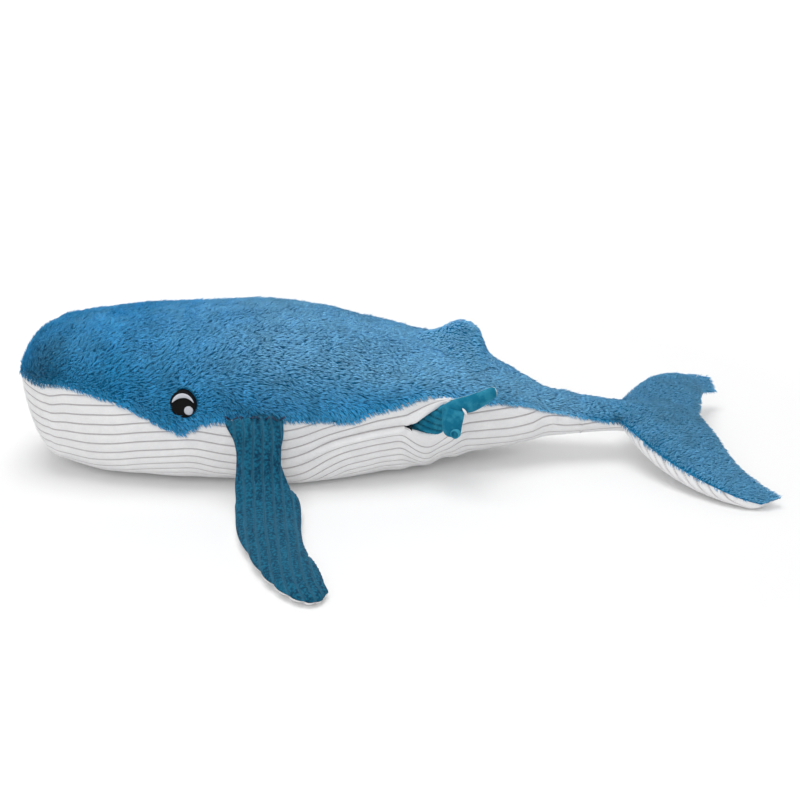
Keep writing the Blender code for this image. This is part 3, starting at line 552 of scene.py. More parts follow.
def nap_group():
    """Brushed corduroy: ribs and grooves of different colours, worn patches and a mottled, fuzzy surface."""
    inputs = [
        ("Rib Color", "NodeSocketColor", (1, 1, 1, 1)),
        ("Groove Color", "NodeSocketColor", (0, 0, 0, 1)),
        ("Brushed Color", "NodeSocketColor", (1, 1, 1, 1)),
        ("Brushed Share", "NodeSocketFloat", 0.3),
        ("Mottled Share", "NodeSocketFloat", 0.3),
    ]
    outputs = [("Color", "NodeSocketColor"), ("Height", "NodeSocketFloat"), ("Roughness", "NodeSocketFloat")]
    tree, given, made = new_group("Brushed corduroy", inputs, outputs)
    place = object_place(tree)
    patches = noise_at(tree, place, 60.0, 3.0)
    mottle = noise_at(tree, place, 420.0, 3.0)
    fuzz = noise_at(tree, place, 1100.0, 2.0)
    groove = stored(tree, "groove")
    worn = math_node(tree, "MULTIPLY", spread(tree, patches, 0.42, 0.68), given.outputs["Brushed Share"])
    mottled = math_node(tree, "MULTIPLY", spread(tree, mottle, 0.42, 0.62), given.outputs["Mottled Share"])
    brushed = math_node(tree, "ADD", worn, mottled)
    color = mix_colors(tree, brushed, given.outputs["Rib Color"], given.outputs["Brushed Color"])
    fuzzy = spread(tree, fuzz, 0.3, 0.7, -0.10, 0.10)
    sunk = add_node(tree, "ShaderNodeClamp", {0: math_node(tree, "ADD", groove, fuzzy)}).outputs[0]
    tree.links.new(mix_colors(tree, sunk, color, given.outputs["Groove Color"]), made.inputs["Color"])
    tree.links.new(math_node(tree, "ADD", fuzz, mottle), made.inputs["Height"])
    tree.links.new(spread(tree, fuzz, 0.3, 0.7, 0.78, 0.98), made.inputs["Roughness"])
    return tree


def new_material(name, roughness=0.9, sheen=0.0, sheen_color=(1, 1, 1)):
    """A material with a plain fabric shader, and its tree and shader."""
    made = bpy.data.materials.new(name)
    made.use_nodes = True
    shader = made.node_tree.nodes["Principled BSDF"]
    shader.inputs["Roughness"].default_value = roughness
    shader.inputs["Specular IOR Level"].default_value = 0.2
    shader.inputs["Sheen Weight"].default_value = sheen
    shader.inputs["Sheen Roughness"].default_value = 0.45
    shader.inputs["Sheen Tint"].default_value = (*sheen_color, 1)
    return made, made.node_tree, shader


def bump(tree, shader, height, strength, distance):
    """Small relief on a fabric."""
    links = {"Height": height, "Strength": strength, "Distance": distance}
    tree.links.new(add_node(tree, "ShaderNodeBump", links).outputs[0], shader.inputs["Normal"])


def corduroy(name, nap, rib, groove, brushed, worn, mottled, sheen):
    """Wide-wale corduroy of one colour."""
    made, tree, shader = new_material(name, 0.9, sheen)
    group = add_node(tree, "ShaderNodeGroup", node_tree=nap)
    for label, color in (("Rib Color", rib), ("Groove Color", groove), ("Brushed Color", brushed)):
        group.inputs[label].default_value = (*color, 1)
    group.inputs["Brushed Share"].default_value = worn
    group.inputs["Mottled Share"].default_value = mottled
    tree.links.new(group.outputs["Color"], shader.inputs["Base Color"])
    tree.links.new(group.outputs["Roughness"], shader.inputs["Roughness"])
    bump(tree, shader, group.outputs["Height"], 0.5, 0.0007)
    return made


def pile(name, root, middle, tip, pale, tint_range):
    """Long plush pile: painted shade darkens it towards its root, light at its tip, painted light makes it
    paler on top, its blue varied by tuft and darkened by painted shade.
    """
    made, tree, shader = new_material(name, 0.8, 0.7, pale)
    painted_light = stored(tree, "painted_light")
    along = stored(tree, "along")
    tone_and_shade = stored(tree, "tone_and_shade")
    # Painted shade: the root colour is darker, as shade between the tufts
    lower = mix_colors(tree, spread(tree, along, 0.0, 0.55), (*root, 1), (*middle, 1))
    color = mix_colors(tree, spread(tree, along, 0.45, 1.0), lower, (*tip, 1))
    # Painted light: the colour moves towards the pale blue where the pile faces up
    painted_light_share = math_node(tree, "MULTIPLY", painted_light, spread(tree, along, 0.0, 0.6))
    color = mix_colors(tree, painted_light_share, color, (*pale, 1))
    # The tuft's value: its random tone, darkened by painted shade
    shade = spread(tree, tone_and_shade, 0.0, 1.0, *tint_range)
    links = {"Color": color, "Value": shade}
    tree.links.new(add_node(tree, "ShaderNodeHueSaturation", links).outputs[0], shader.inputs["Base Color"])
    return made


def backing(name, dark, light):
    """The woven ground that shows between the tufts."""
    made, tree, shader = new_material(name, 0.95)
    place = object_place(tree)
    noise = noise_at(tree, place, 420.0, 4.0)
    color = mix_colors(tree, spread(tree, noise, 0.35, 0.65), (*dark, 1), (*light, 1))
    tree.links.new(color, shader.inputs["Base Color"])
    bump(tree, shader, noise, 0.6, 0.001)
    return made


def velour(name, deep, plain, light):
    """Short smooth velour, darkened by painted shade in its creases and lighter along its sewn edges."""
    made, tree, shader = new_material(name, 0.8, 0.4, light)
    place = object_place(tree)
    patches = noise_at(tree, place, 130.0, 3.0)
    fuzz = noise_at(tree, place, 1400.0, 2.0)
    edge = stored(tree, "edge")
    crease = stored(tree, "crease")
    brushed = math_node(tree, "MAXIMUM", edge, spread(tree, patches, 0.42, 0.75, 0.0, 0.6))
    color = mix_colors(tree, brushed, (*plain, 1), (*light, 1))
    # Painted shade in the creases
    color = mix_colors(tree, crease, color, (*deep, 1))
    tree.links.new(color, shader.inputs["Base Color"])
    bump(tree, shader, fuzz, 0.35, 0.0004)
    return made


def satin_stitch(name, color, light, turn, roughness, gloss):
    """Rows of embroidery thread, packed side by side."""
    made, tree, shader = new_material(name, roughness)
    shader.inputs["Specular IOR Level"].default_value = gloss
    place = object_place(tree)
    turned = add_node(tree, "ShaderNodeMapping", {"Vector": place, "Rotation": (0.0, turn, 0.0)}).outputs[0]
    links = {"Vector": turned, "Scale": 420.0, "Distortion": 0.6, "Detail": 1.0}
    threads = add_node(tree, "ShaderNodeTexWave", links, bands_direction="Z").outputs[1]
    tree.links.new(mix_colors(tree, threads, (*color, 1), (*light, 1)), shader.inputs["Base Color"])
    bump(tree, shader, threads, 0.6, 0.0004)
    return made


def whale_finishes():
    """All fabrics and threads by name, made once."""
    colors = bpy.context.scene.whale_colors
    nap = nap_group()
    blue = tuple(colors.plush)
    white = tuple(colors.belly)
    teal = tuple(colors.flipper)
    velvet = tuple(colors.baby)
    worn_white = lighter(white, 0.6)
    teal_groove, worn_teal = cloth(54, 114, 142), cloth(20, 104, 134)
    black, soft_black = cloth(2, 2, 3), cloth(10, 9, 12)
    pale, bright = cloth(178, 182, 194), cloth(226, 228, 234)
    # sky is the pale blue that painted light on top of the pile moves towards, and the pile's sheen colour
    sky = cloth(146, 216, 255)
    return {
        # The pile's root colour is darkened as painted shade between the tufts
        "pile": pile("Blue plush pile", darker(blue, 0.62), blue, lighter(blue, 0.05), sky, (0.42, 1.5)),
        "ground": backing("Blue plush ground", darker(blue, 0.35), darker(blue, 0.6)),
        "white": corduroy("White corduroy", nap, white, cloth(192, 186, 189), worn_white, 0.6, 0.2, 0.2),
        "teal": corduroy("Teal corduroy", nap, teal, teal_groove, worn_teal, 0.30, 1.0, 0.03),
        # The velour's first colour is the painted shade in its creases
        "velour": velour("Teal velour", darker(velvet, 0.12), velvet, cloth(62, 158, 184)),
        "lining": backing("Pocket lining", cloth(6, 14, 20), cloth(16, 32, 42)),
        "black": satin_stitch("Black embroidery", black, soft_black, 0.5, 0.6, 0.12),
        "pale": satin_stitch("Pale embroidery", pale, bright, 0.5, 0.5, 0.2),
        "thread": satin_stitch("Dark blue thread", cloth(10, 30, 54), cloth(38, 74, 108), 0.9, 0.6, 0.45),
    }


FINISH = {}


# ---- the belly


def belly_rows():
    """Lengths along the belly, close together at the nose and round the slit."""
    stops = np.concatenate([nose_stops(SPLIT_X, 0.005), np.arange(0.0, 0.082, 0.00125)])
    stops = np.unique(np.round(stops, 6))
    return stops[np.concatenate([[True], np.diff(stops) > 0.0004])]


class BellyCloth:
    """The belly's surface by length and by distance from the keel round the section."""

    def __init__(self, rows):
        self.rows = rows
        seam = seam_angle(rows)[:, None]
        share = np.linspace(0, 1, 900)[None, :]
        angle = -math.pi / 2 + (math.pi / 2 + seam) * share
        self.points = trunk_point(rows[:, None] + 0 * share, angle)
        self.normals = normals_of(self.points)
        self.normals[0] = (-1, 0, 0)
        steps = np.linalg.norm(np.diff(self.points[..., 1:], axis=1), axis=-1)
        self.reach = np.concatenate([np.zeros((len(rows), 1)), np.cumsum(steps, 1)], 1)
        self.whole = self.reach[:, -1]

    def at(self, reach):
        """Points and normals on the right side, at distances from the keel given row by row."""
        found = []
        for source in (self.points, self.normals):
            columns = [
                np.stack([np.interp(reach[i], self.reach[i], source[i, :, axis]) for i in range(len(reach))])
                for axis in range(3)
            ]
            found.append(np.stack(columns, -1))
        return found[0], unit(found[1])

    def reach_of(self, heights):
        """Distance from the keel of a height, row by row."""
        return np.array(
            [np.interp(height, self.points[i, :, 2], self.reach[i]) for i, height in enumerate(heights)]
        )


def rib_profile(place):
    """How deep corduroy lies below its ribs' tops, and how much of a groove; grooves lie at whole numbers."""
    across = np.abs(place % 1.0 * 2 - 1)
    depth = 1 - np.sqrt(np.maximum(1 - across**2.8, 0))
    return depth, ease(across, 0.78, 0.97)


def slit_lips(rows):
    """Heights of the lower and the upper lip of the pocket's slit, and its openness, by length."""
    inside = np.clip(rows, SLIT[0][0], SLIT[-1][0])
    low, high = curve(SLIT, inside)
    open_share = np.where((rows > SLIT[0][0]) & (rows < SLIT[-1][0]), 1.0, 0.0)
    return low, high, open_share


def fold_relief(points, mark):
    """The fold that runs into the corner of the slit, sagging ribs below it, and a pucker at the rear."""
    x, z = points[..., 0], points[..., 2]
    run = ease(x, -0.094, -0.050) * (1 - ease(x, 0.004, 0.016))
    ridge = 0.0034 * hump(mark + 0.55, 0.55) * run
    crease = -0.0030 * hump(mark, 0.30) * run - 0.0012 * hump(mark + 1.5, 0.35) * run
    sag = 0.0011 * np.sin(x * 210 + z * 60) * hump(x - 0.035, 0.045) * ease(-mark, 0.5, 2.0)
    pucker = -0.0030 * hump(x - 0.160 - 0.5 * (z - 0.040), 0.0022) * ease(z, 0.030, 0.042)
    return ridge + crease + sag + pucker


def soften(rows, values, width):
    """Values by row, averaged along the rows over about a width."""
    weights = hump(rows[:, None] - rows[None, :], width) * np.gradient(rows)[None, :]
    return weights @ values / weights.sum(1)


def belly_half(cloth_map, pitch, side, part):
    """One grid of the belly: the right side, or the left side above or below the slit's groove.

    Each column keeps its place among the ribs, counted upwards from the slit's groove.
    """
    rows = cloth_map.rows
    whole = cloth_map.whole[:, None]
    level = np.clip(rows, POCKET_GROOVE[0][0], POCKET_GROOVE[-1][0])
    line, above, below = curve(POCKET_GROOVE, level)
    ranges = {"all": (-15, 8), "lower": (-15, 0), "upper": (0, 8)}[part]
    marks = [rib + step for rib in range(*ranges) for step in RIB_STEPS] + [ranges[1]]
    mark = np.array(marks)[None, :] + 0 * whole
    low, high, open_share = slit_lips(rows)
    upper = np.maximum(cloth_map.reach_of(high) - line, 0) * open_share
    lower = np.maximum(line - cloth_map.reach_of(low), 0) * open_share
    reach = line[:, None] + mark * pitch * np.where(mark > 0, above[:, None], below[:, None])
    if part == "upper":
        room = np.maximum(cloth_map.whole - line, 0.001)
        reach = reach + (upper * np.clip(1 - (reach.T - line) / room, 0, 1)).T
    if part == "lower":
        gap = np.clip((line[:, None] - reach) / 0.085, 0, 1)
        beyond = ease(-mark, 0, 1)
        drop = lower[:, None] * (1 - beyond) + 1.5 * soften(rows, lower, 0.0065)[:, None] * beyond
        reach = reach - drop * (1 - ease(gap, 0.3, 1.0))
    home = np.argmax(rows >= POCKET_GROOVE[0][0])
    heights = np.interp(reach[home], cloth_map.reach[home], cloth_map.points[home, :, 2])
    for row in range(home):
        reach[row] = np.interp(heights, cloth_map.points[row, :, 2], cloth_map.reach[row])
        reach[row] += np.maximum(reach[home] - cloth_map.whole[home], 0)
    reach = np.clip(reach, 0, whole)
    points, normals = cloth_map.at(reach)
    depth, groove = rib_profile(mark)
    lip = np.abs(reach - (line + (upper if part == "upper" else -lower))[:, None])
    opening = ease(upper + lower, 0.0, 0.016)[:, None]
    smooth = hump(lip, 0.0045) * opening if part != "all" else 0 * reach
    edge = ease(reach - whole, -0.004, 0.0)
    kept = (1 - smooth) * (1 - edge) * ease(reach, 0.0, 0.003)
    depth, groove = depth * kept, groove * kept
    points[..., 1] *= side
    normals[..., 1] *= side
    push = stuffing_lumps(points) - 0.0019 * depth - 0.002 * edge
    if part != "all":
        push = push + (0.0035 if part == "upper" else 0.0030) * hump(lip, 0.007) * opening
    if side < 0:
        push = push + fold_relief(points, mark) * (1 - edge)
    points = points + normals * push[..., None]
    points[..., 2] = np.maximum(points[..., 2], 0.0)
    if part == "all":
        return points, groove, None
    column = 0 if part == "upper" else -1
    return points, groove, (points[:, column], normals[:, column], open_share > 0, upper + lower)


def lip_roll(edge, upward):
    """The rolled edge of the slit: from the lip round and into the pocket."""
    points, normals, inside, gap = edge
    rows = np.flatnonzero(inside)
    rows = np.arange(rows[0] - 1, rows[-1] + 2)
    lip, out, gap = points[rows], normals[rows], gap[rows]
    up = np.array([0, 0, 1.0 if upward else -1.0])
    up = unit(up - out * (out @ up)[:, None])
    radius = np.minimum(0.0032, gap * 0.22)[:, None]
    found = [lip]
    for turn in np.radians([35, 70, 105, 140, 170]):
        found.append(lip - out * radius * (1 - math.cos(turn)) + up * radius * (-math.sin(turn)))
    found.append(found[-1] + up * 0.004 - out * 0.002)
    found.append(found[-1] + up * 0.002 - out * 0.009)
    return np.stack(found, 1)


class WHALE_OT_belly(bpy.types.Operator):
    """Sew the white corduroy belly, with the slit of the pocket in its left side"""

    bl_idname = "whale.belly"
    bl_label = "Belly"

    def execute(self, context):
        pitch = context.scene.whale_sizes.rib_pitch
        cloth_map = BellyCloth(belly_rows())
        grids = []
        right, groove, _ = belly_half(cloth_map, pitch, 1, "all")
        grids.append((right, {"groove": groove}, False))
        for part in ("lower", "upper"):
            grid, groove, edge = belly_half(cloth_map, pitch, -1, part)
            grids.append((grid, {"groove": groove}, True))
            rolled = lip_roll(edge, part == "upper")
            grids.append((rolled, {"groove": np.zeros(rolled.shape[:2])}, part == "lower"))
        piece = grid_piece("belly_corduroy", grids, FINISH["white"])
        dress(piece, TAIL_BEND, "white_corduroy", "belly_cover", fill=0.75)
        return {"FINISHED"}


# ---- the plush back


def back_grid(first, last, step=0.006, columns=72, inset=BACK_INSET):
    """Points and normals of the plush ground from one seam over the top to the other."""
    if first <= NOSE:
        rows = nose_stops(last, step)
    else:
        rows = np.linspace(first, last, max(3, int((last - first) / step) + 1))
    seam = seam_angle(rows)[:, None]
    share = np.linspace(0, 1, columns + 1)[None, :]
    angle = seam + (math.pi - 2 * seam) * share
    points = trunk_point(rows[:, None] + 0 * share, angle)
    normals = normals_of(points)
    if first <= NOSE:
        normals[0] = (-1, 0, 0)
    edge = np.minimum(share, 1 - share)
    depth = inset * (0.25 + 0.75 * ease(edge, 0.0, 0.06))
    points = points + normals * (stuffing_lumps(points) - depth)[..., None]
    return points, normals


def tail_grid(last):
    """Points and normals of the plush ground of the narrow tail, up to a length."""
    return back_grid(SPLIT_X - TAIL_LAP, last, TAIL_STEP, TAIL_COLUMNS, THIN_INSET)


def with_rim(points, normals, tuck=0.004):
    """A grid whose long edges are turned inwards, as cloth is at a seam."""
    left = points[:, :1] - normals[:, :1] * tuck
    right = points[:, -1:] - normals[:, -1:] * tuck
    return np.concatenate([left, points, right], 1)


class WHALE_OT_back(bpy.types.Operator):
    """Lay the woven ground of the plush back, from the nose to the tail"""

    bl_idname = "whale.back"
    bl_label = "Back"

    def execute(self, context):
        points, normals = back_grid(NOSE, SPLIT_X)
        rimmed = with_rim(points, normals)
        piece = grid_piece("back_ground", [(rimmed, {}, False)], FINISH["ground"])
        nodes = ("back_cover_left", "back_cover_right", "body_stuffing")
        dress(piece, TAIL_BEND, "blue_plush", *nodes, fill=0.8)
        return {"FINISHED"}


# ---- tail stock and flukes


def fluke_grid(table, sizes, axes, origin, sign, columns, steps, inset=0.0):
    """Points of one side of a pair of flukes, rows from tip to tip and columns from front to back."""
    length, half_span, height, half_thickness = sizes
    rows = [(index, *row) for index, row in enumerate(table)]
    place = np.linspace(0, len(table) - 1, columns)
    lx, ly, lz, tx, ty, tz, thick, drop, opening = curve(rows, place)
    opening = np.clip(opening, 0, 1)
    lead = np.stack([lx * length, ly * half_span, lz * height], -1)
    trail = np.stack([tx * length, ty * half_span, tz * height], -1)
    thickness = thick * half_thickness - inset
    tip = np.minimum(place, len(table) - 1 - place)
    closing = np.clip(tip / 0.3, 0, 1)
    thickness = np.maximum(thickness, 0.001) * np.sqrt(ease(tip, -0.35, 0.9) * closing * (2 - closing))
    if sign < 0:
        thickness = thickness * drop
    first = -math.pi / 2 * (1 - opening)
    share = np.linspace(0, 1, steps + 1)[None, :]
    angle = first[:, None] + (math.pi / 2 - first[:, None]) * share
    start = np.sin(first)[:, None]
    run = (np.sin(angle) - start) / (1 - start)
    bulge = np.maximum(np.cos(angle), 0)
    if sign < 0:
        run = run - UNDER_BULGE * np.maximum(drop - 1, 0)[:, None] * bulge * (1 - run)
    flat = lead[:, None] + (trail - lead)[:, None] * run[..., None]
    flat[..., 2] += sign * thickness[:, None] * bulge
    return np.asarray(origin) + flat @ np.array(axes)


FLUKE_SIZES = (FLUKE_LENGTH, FLUKE_HALF_SPAN, HINGE_HEIGHT, FLUKE_HALF_THICKNESS)
FLUKE_ORIGIN = (HINGE_X, 0, 0)
WORLD_AXES = ((1, 0, 0), (0, 1, 0), (0, 0, 1))


def top_fluke_grid():
    """Points and outward normals of the plush ground of the flukes' tops."""
    grid = fluke_grid(FLUKES, FLUKE_SIZES, WORLD_AXES, FLUKE_ORIGIN, 1, 150, 30, THIN_INSET)
    normals = normals_of(grid)
    if normals[75, 15, 2] < 0:
        normals = -normals
    return grid, normals


class WHALE_OT_tail(bpy.types.Operator):
    """Sew the plush and corduroy covers of the narrow tail"""

    bl_idname = "whale.tail"
    bl_label = "Tail"

    def execute(self, context):
        points, normals = tail_grid(0.232)
        rimmed = with_rim(points, normals, 0.003)
        piece = grid_piece("tail_ground", [(rimmed, {}, False)], FINISH["ground"])
        dress(piece, FLUKE_BEND, "blue_plush", "tail_back_cover", "tail_stuffing", fill=0.8)
        pitch = context.scene.whale_sizes.rib_pitch
        cloth_map = BellyCloth(np.linspace(SPLIT_X - 0.003, 0.236, 16))
        grids = []
        for side in (1, -1):
            points, groove, _ = belly_half(cloth_map, pitch, side, "all")
            grids.append((points, {"groove": groove}, side < 0))
        piece = grid_piece("tail_corduroy", grids, FINISH["white"])
        dress(piece, FLUKE_BEND, "white_corduroy", "tail_belly_cover", fill=0.8)
        return {"FINISHED"}


class WHALE_OT_flukes(bpy.types.Operator):
    """Sew the flukes: plush above, ribbed corduroy below"""

    bl_idname = "whale.flukes"
    bl_label = "Flukes"

    def execute(self, context):
        grid, normals = top_fluke_grid()
        piece = grid_piece("fluke_ground", [(grid, {}, False)], FINISH["ground"])
        dress(piece, "flukes", "blue_plush", "fluke_top_cover", "fluke_stuffing", fill=0.7)
        pitch = context.scene.whale_sizes.rib_pitch * 0.8
        grid = fluke_grid(FLUKES, FLUKE_SIZES, WORLD_AXES, FLUKE_ORIGIN, -1, 400, 64)
        normals = normals_of(grid)
        if normals[200, 32, 2] > 0:
            normals = -normals
        depth, groove = rib_profile((grid[..., 1] - 0.9 * grid[..., 2]) / pitch + 0.25)
        grid = grid - normals * (0.0021 * depth)[..., None]
        grid[..., 2] = np.maximum(grid[..., 2], 0.0)
        piece = grid_piece("fluke_corduroy", [(grid, {"groove": groove}, False)], FINISH["white"])
        dress(piece, "flukes", "white_corduroy", "fluke_under_cover", fill=0.7)
        return {"FINISHED"}


# ---- the dorsal fin


def fin_grid():
    """Points of the dorsal fin's plush ground, from its left foot over its crest to its right foot."""
    share = np.linspace(0, 1, 56)
    rise_share = curve(FIN, share)[0]
    x = FIN_X + FIN_LENGTH * (share - 0.5)
    half, _, widest, top, _, crown, _ = curve(TRUNK, (x - NOSE) / LENGTH)[..., None]
    thick = (FIN_HALF_THICKNESS * (0.35 + 0.65 * rise_share) - 0.3 * THIN_INSET)[:, None]
    angle = np.linspace(0, math.pi, 37)[None, :]
    across = power(np.cos(angle), 2 / 1.6) * thick * (1 + 1.5 * (1 - np.sin(angle)) ** 2)
    rise = np.maximum(FIN_RISE * rise_share - THIN_INSET, 0.0005)[:, None]
    upward = power(np.sin(angle), 2 / 1.6) * rise
    beside = np.clip(np.abs(across) / (half * HALF_WIDTH), 0, 0.98)
    seat = (widest + (top - widest) * (1 - beside**crown) ** (1 / crown)) * HEIGHT - FIN_SINK
    return np.stack([x[:, None] + 0 * angle, across, seat + upward], -1)


class WHALE_OT_fin(bpy.types.Operator):
    """Sew the small dorsal fin"""

    bl_idname = "whale.fin"
    bl_label = "Dorsal fin"

    def execute(self, context):
        grid = fin_grid()
        piece = grid_piece("fin_ground", [(grid, {}, False)], FINISH["ground"])
        dress(piece, "body", "blue_plush", "dorsal_fin", fill=0.7)
        return {"FINISHED"}


# ---- flippers


def flipper_line():
    """Centre line, half width, half thickness and ribs passed of the left flipper by distance along it."""
    hinge = np.array((FLIPPER_HINGE[0], -FLIPPER_HINGE[1], FLIPPER_HINGE[2]))
    rows = []
    for along, out, height, half_width, half_thickness, passed in FLIPPER:
        thickness = half_thickness * FLIPPER_HALF_THICKNESS
        point = hinge + np.array((along, -out, 0)) * FLIPPER_LENGTH
        point[2] = max(height * FLIPPER_HINGE[2], thickness)
        travelled = rows[-1][0] + np.linalg.norm(point - np.array(rows[-1][1:4])) if rows else FLIPPER_ROOT
        rows.append((travelled, *point, half_width * FLIPPER_HALF_WIDTH, thickness, passed))
    root = np.array(rows[0][1:4]) - unit(np.array(rows[1][1:4]) - np.array(rows[0][1:4])) * FLIPPER_ROOT
    return [(0.0, *root, *rows[0][4:])] + rows


def flipper_grid(sign, pitch):
    """Points and groove values of the left flipper's upper or under cover."""
    line = flipper_line()
    length = line[-1][0]
    root = FLIPPER_ROOT * (1 - np.cos(np.linspace(0, math.pi / 2, 6)))[:-1]
    tip_round = FLIPPER_HALF_THICKNESS * 0.9
    tip = length - tip_round * (1 - np.cos(np.linspace(math.pi / 2, 0, 12)))
    place = np.concatenate([root, np.arange(FLIPPER_ROOT, length - tip_round, 0.0035), tip])
    thin = np.sqrt(np.clip(1 - (1 - place / FLIPPER_ROOT) ** 2, 0, 1))
    thin = np.where(place < FLIPPER_ROOT, np.maximum(thin, 0.25), 1.0)
    narrow = np.clip(1 - ((place - (length - tip_round)) / tip_round) ** 2, 0, 1) ** 0.5
    narrow = np.where(place > length - tip_round, narrow, 1.0)
    x, y, z, half_width, half_thickness, passed = curve(line, place)
    step = 0.0005
    heading = curve(line, place + step)[:3] - curve(line, np.maximum(place - step, 0))[:3]
    heading = unit(heading.T)
    across = unit(np.cross((0, 0, 1), heading))
    upward = np.cross(heading, across)
    marks = np.array([rib + part for rib in range(-4, 9) for part in RIB_STEPS] + [9])[None, :]
    half = (half_width * narrow)[:, None]
    beside = (marks - passed[:, None]) * pitch
    reach = np.clip(beside, -half, half)
    mark = reach / pitch + passed[:, None]
    share = np.clip(np.abs(reach) / np.maximum(half, 1e-6), 0, 1)
    past_root = ease(place, 0.02, 0.05)[:, None]
    scallop = 0.0009 * np.sign(reach) * share**6 * np.abs(np.sin(math.pi * mark)) * past_root
    bulge = (1 - share**2.3) ** (1 / 2.3)
    centre = np.stack([x, y, z], -1)[:, None]
    wobble = 0.0012 * lumps(centre + across[:, None] * reach[..., None], 0.03, 8)
    depth, _ = rib_profile(mark)
    groove = 0.9 * ease(np.abs(mark % 1.0 * 2 - 1), 0.50, 1.0) ** 1.3
    rim = ease(share, 0.9, 1.0)
    height = sign * bulge * (half_thickness * thin * narrow)[:, None] + 0.00025 * sign
    points = centre + across[:, None] * (reach + scallop)[..., None] + upward[:, None] * height[..., None]
    outward = upward[:, None] * (sign * (0.35 + 0.65 * bulge))[..., None]
    outward = outward + across[:, None] * (np.sign(reach) * share**3 * 0.8)[..., None]
    push = wobble * (1 - rim) - 0.0025 * depth * (1 - 0.6 * rim)
    points = points + unit(outward) * push[..., None]
    points[..., 2] = np.maximum(points[..., 2], 0.0)
    return points, groove * (1 - 0.3 * rim)


class WHALE_OT_flippers(bpy.types.Operator):
    """Sew both flippers: teal corduroy above, white corduroy below"""

    bl_idname = "whale.flippers"
    bl_label = "Flippers"

    def execute(self, context):
        pitch = context.scene.whale_sizes.rib_pitch * 0.97
        panels = (("top", 1, "teal", "teal_corduroy"), ("under", -1, "white", "white_corduroy"))
        for side, mirror in (("left", 1), ("right", -1)):
            for panel, sign, finish, slot in panels:
                points, groove = flipper_grid(sign, pitch)
                points = points * (1, mirror, 1)
                grids = [(points, {"groove": groove}, (sign > 0) == (mirror > 0))]
                piece = grid_piece(f"{side}_flipper_{panel}", grids, FINISH[finish])
                nodes = [f"{side}_flipper_{panel}_cover"]
                if panel == "top":
                    nodes.append(f"{side}_flipper_stuffing")
                dress(piece, f"{side}_flipper", slot, *nodes, fill=0.5)
        return {"FINISHED"}


# ---- the pile

# Painted shade in the pile: a dark patch at the nose, the valley before the tail, the fin's foot, the crease
# at the flukes' root and a broad shade over the flukes; where each lies on the left side, how dark and how
# wide
SHADES = [
    ((-0.329, -0.050, 0.107), 0.50, 0.022),
    ((-0.338, -0.040, 0.103), 0.17, 0.052),
    ((0.107, -0.045, 0.086), 0.26, 0.014),
    ((0.066, -0.014, 0.128), 0.12, 0.010),
    ((0.221, -0.020, 0.043), 0.55, 0.0065),
    ((0.290, -0.050, 0.040), 0.16, 0.110),
]


def scatter(points, normals, spacing, seed):
    """Places spread evenly over a grid, with their normals and their grid coordinates."""
    rng = np.random.default_rng(seed)
    a, b = points[:-1, :-1], points[:-1, 1:]
    c, d = points[1:, 1:], points[1:, :-1]
    area = 0.5 * np.linalg.norm(np.cross(c - a, d - b), axis=-1)
    total = np.cumsum(area.reshape(-1))
    count = int(total[-1] / spacing**2)
    picks = (np.arange(count) + rng.random(count)) / count * total[-1]
    cell = np.minimum(np.searchsorted(total, picks), total.size - 1)
    row, column = np.divmod(cell, area.shape[1])
    u, v = rng.random(count)[:, None], rng.random(count)[:, None]
    found = []
    for source in (points, normals):
        near = source[row, column] * (1 - v) + source[row, column + 1] * v
        far = source[row + 1, column] * (1 - v) + source[row + 1, column + 1] * v
        found.append(near * (1 - u) + far * u)
    return found[0], unit(found[1]), np.stack([row + u[:, 0], column + v[:, 0]], -1)


def comb(points, normals, seed, droop):
    """The way the pile lies: back along the whale, upwards on the head, down at its edges, with swirls."""
    head = 1 - ease(points[:, :1], -0.30, -0.10)
    lay = np.concatenate([0.9 + 0 * head, 0 * head, -0.12 + 0.62 * head], 1)
    swirl = 0.34 * (1 - 0.6 * ease(points[:, 0], 0.20, 0.24))
    for axis in range(3):
        lay[:, axis] += swirl * (lumps(points, 0.011, seed + axis) + lumps(points, 0.03, seed + 5 + axis))
    lay[:, 2] -= 1.5 * droop
    lay = lay - normals * np.sum(lay * normals, 1, keepdims=True)
    return unit(lay)


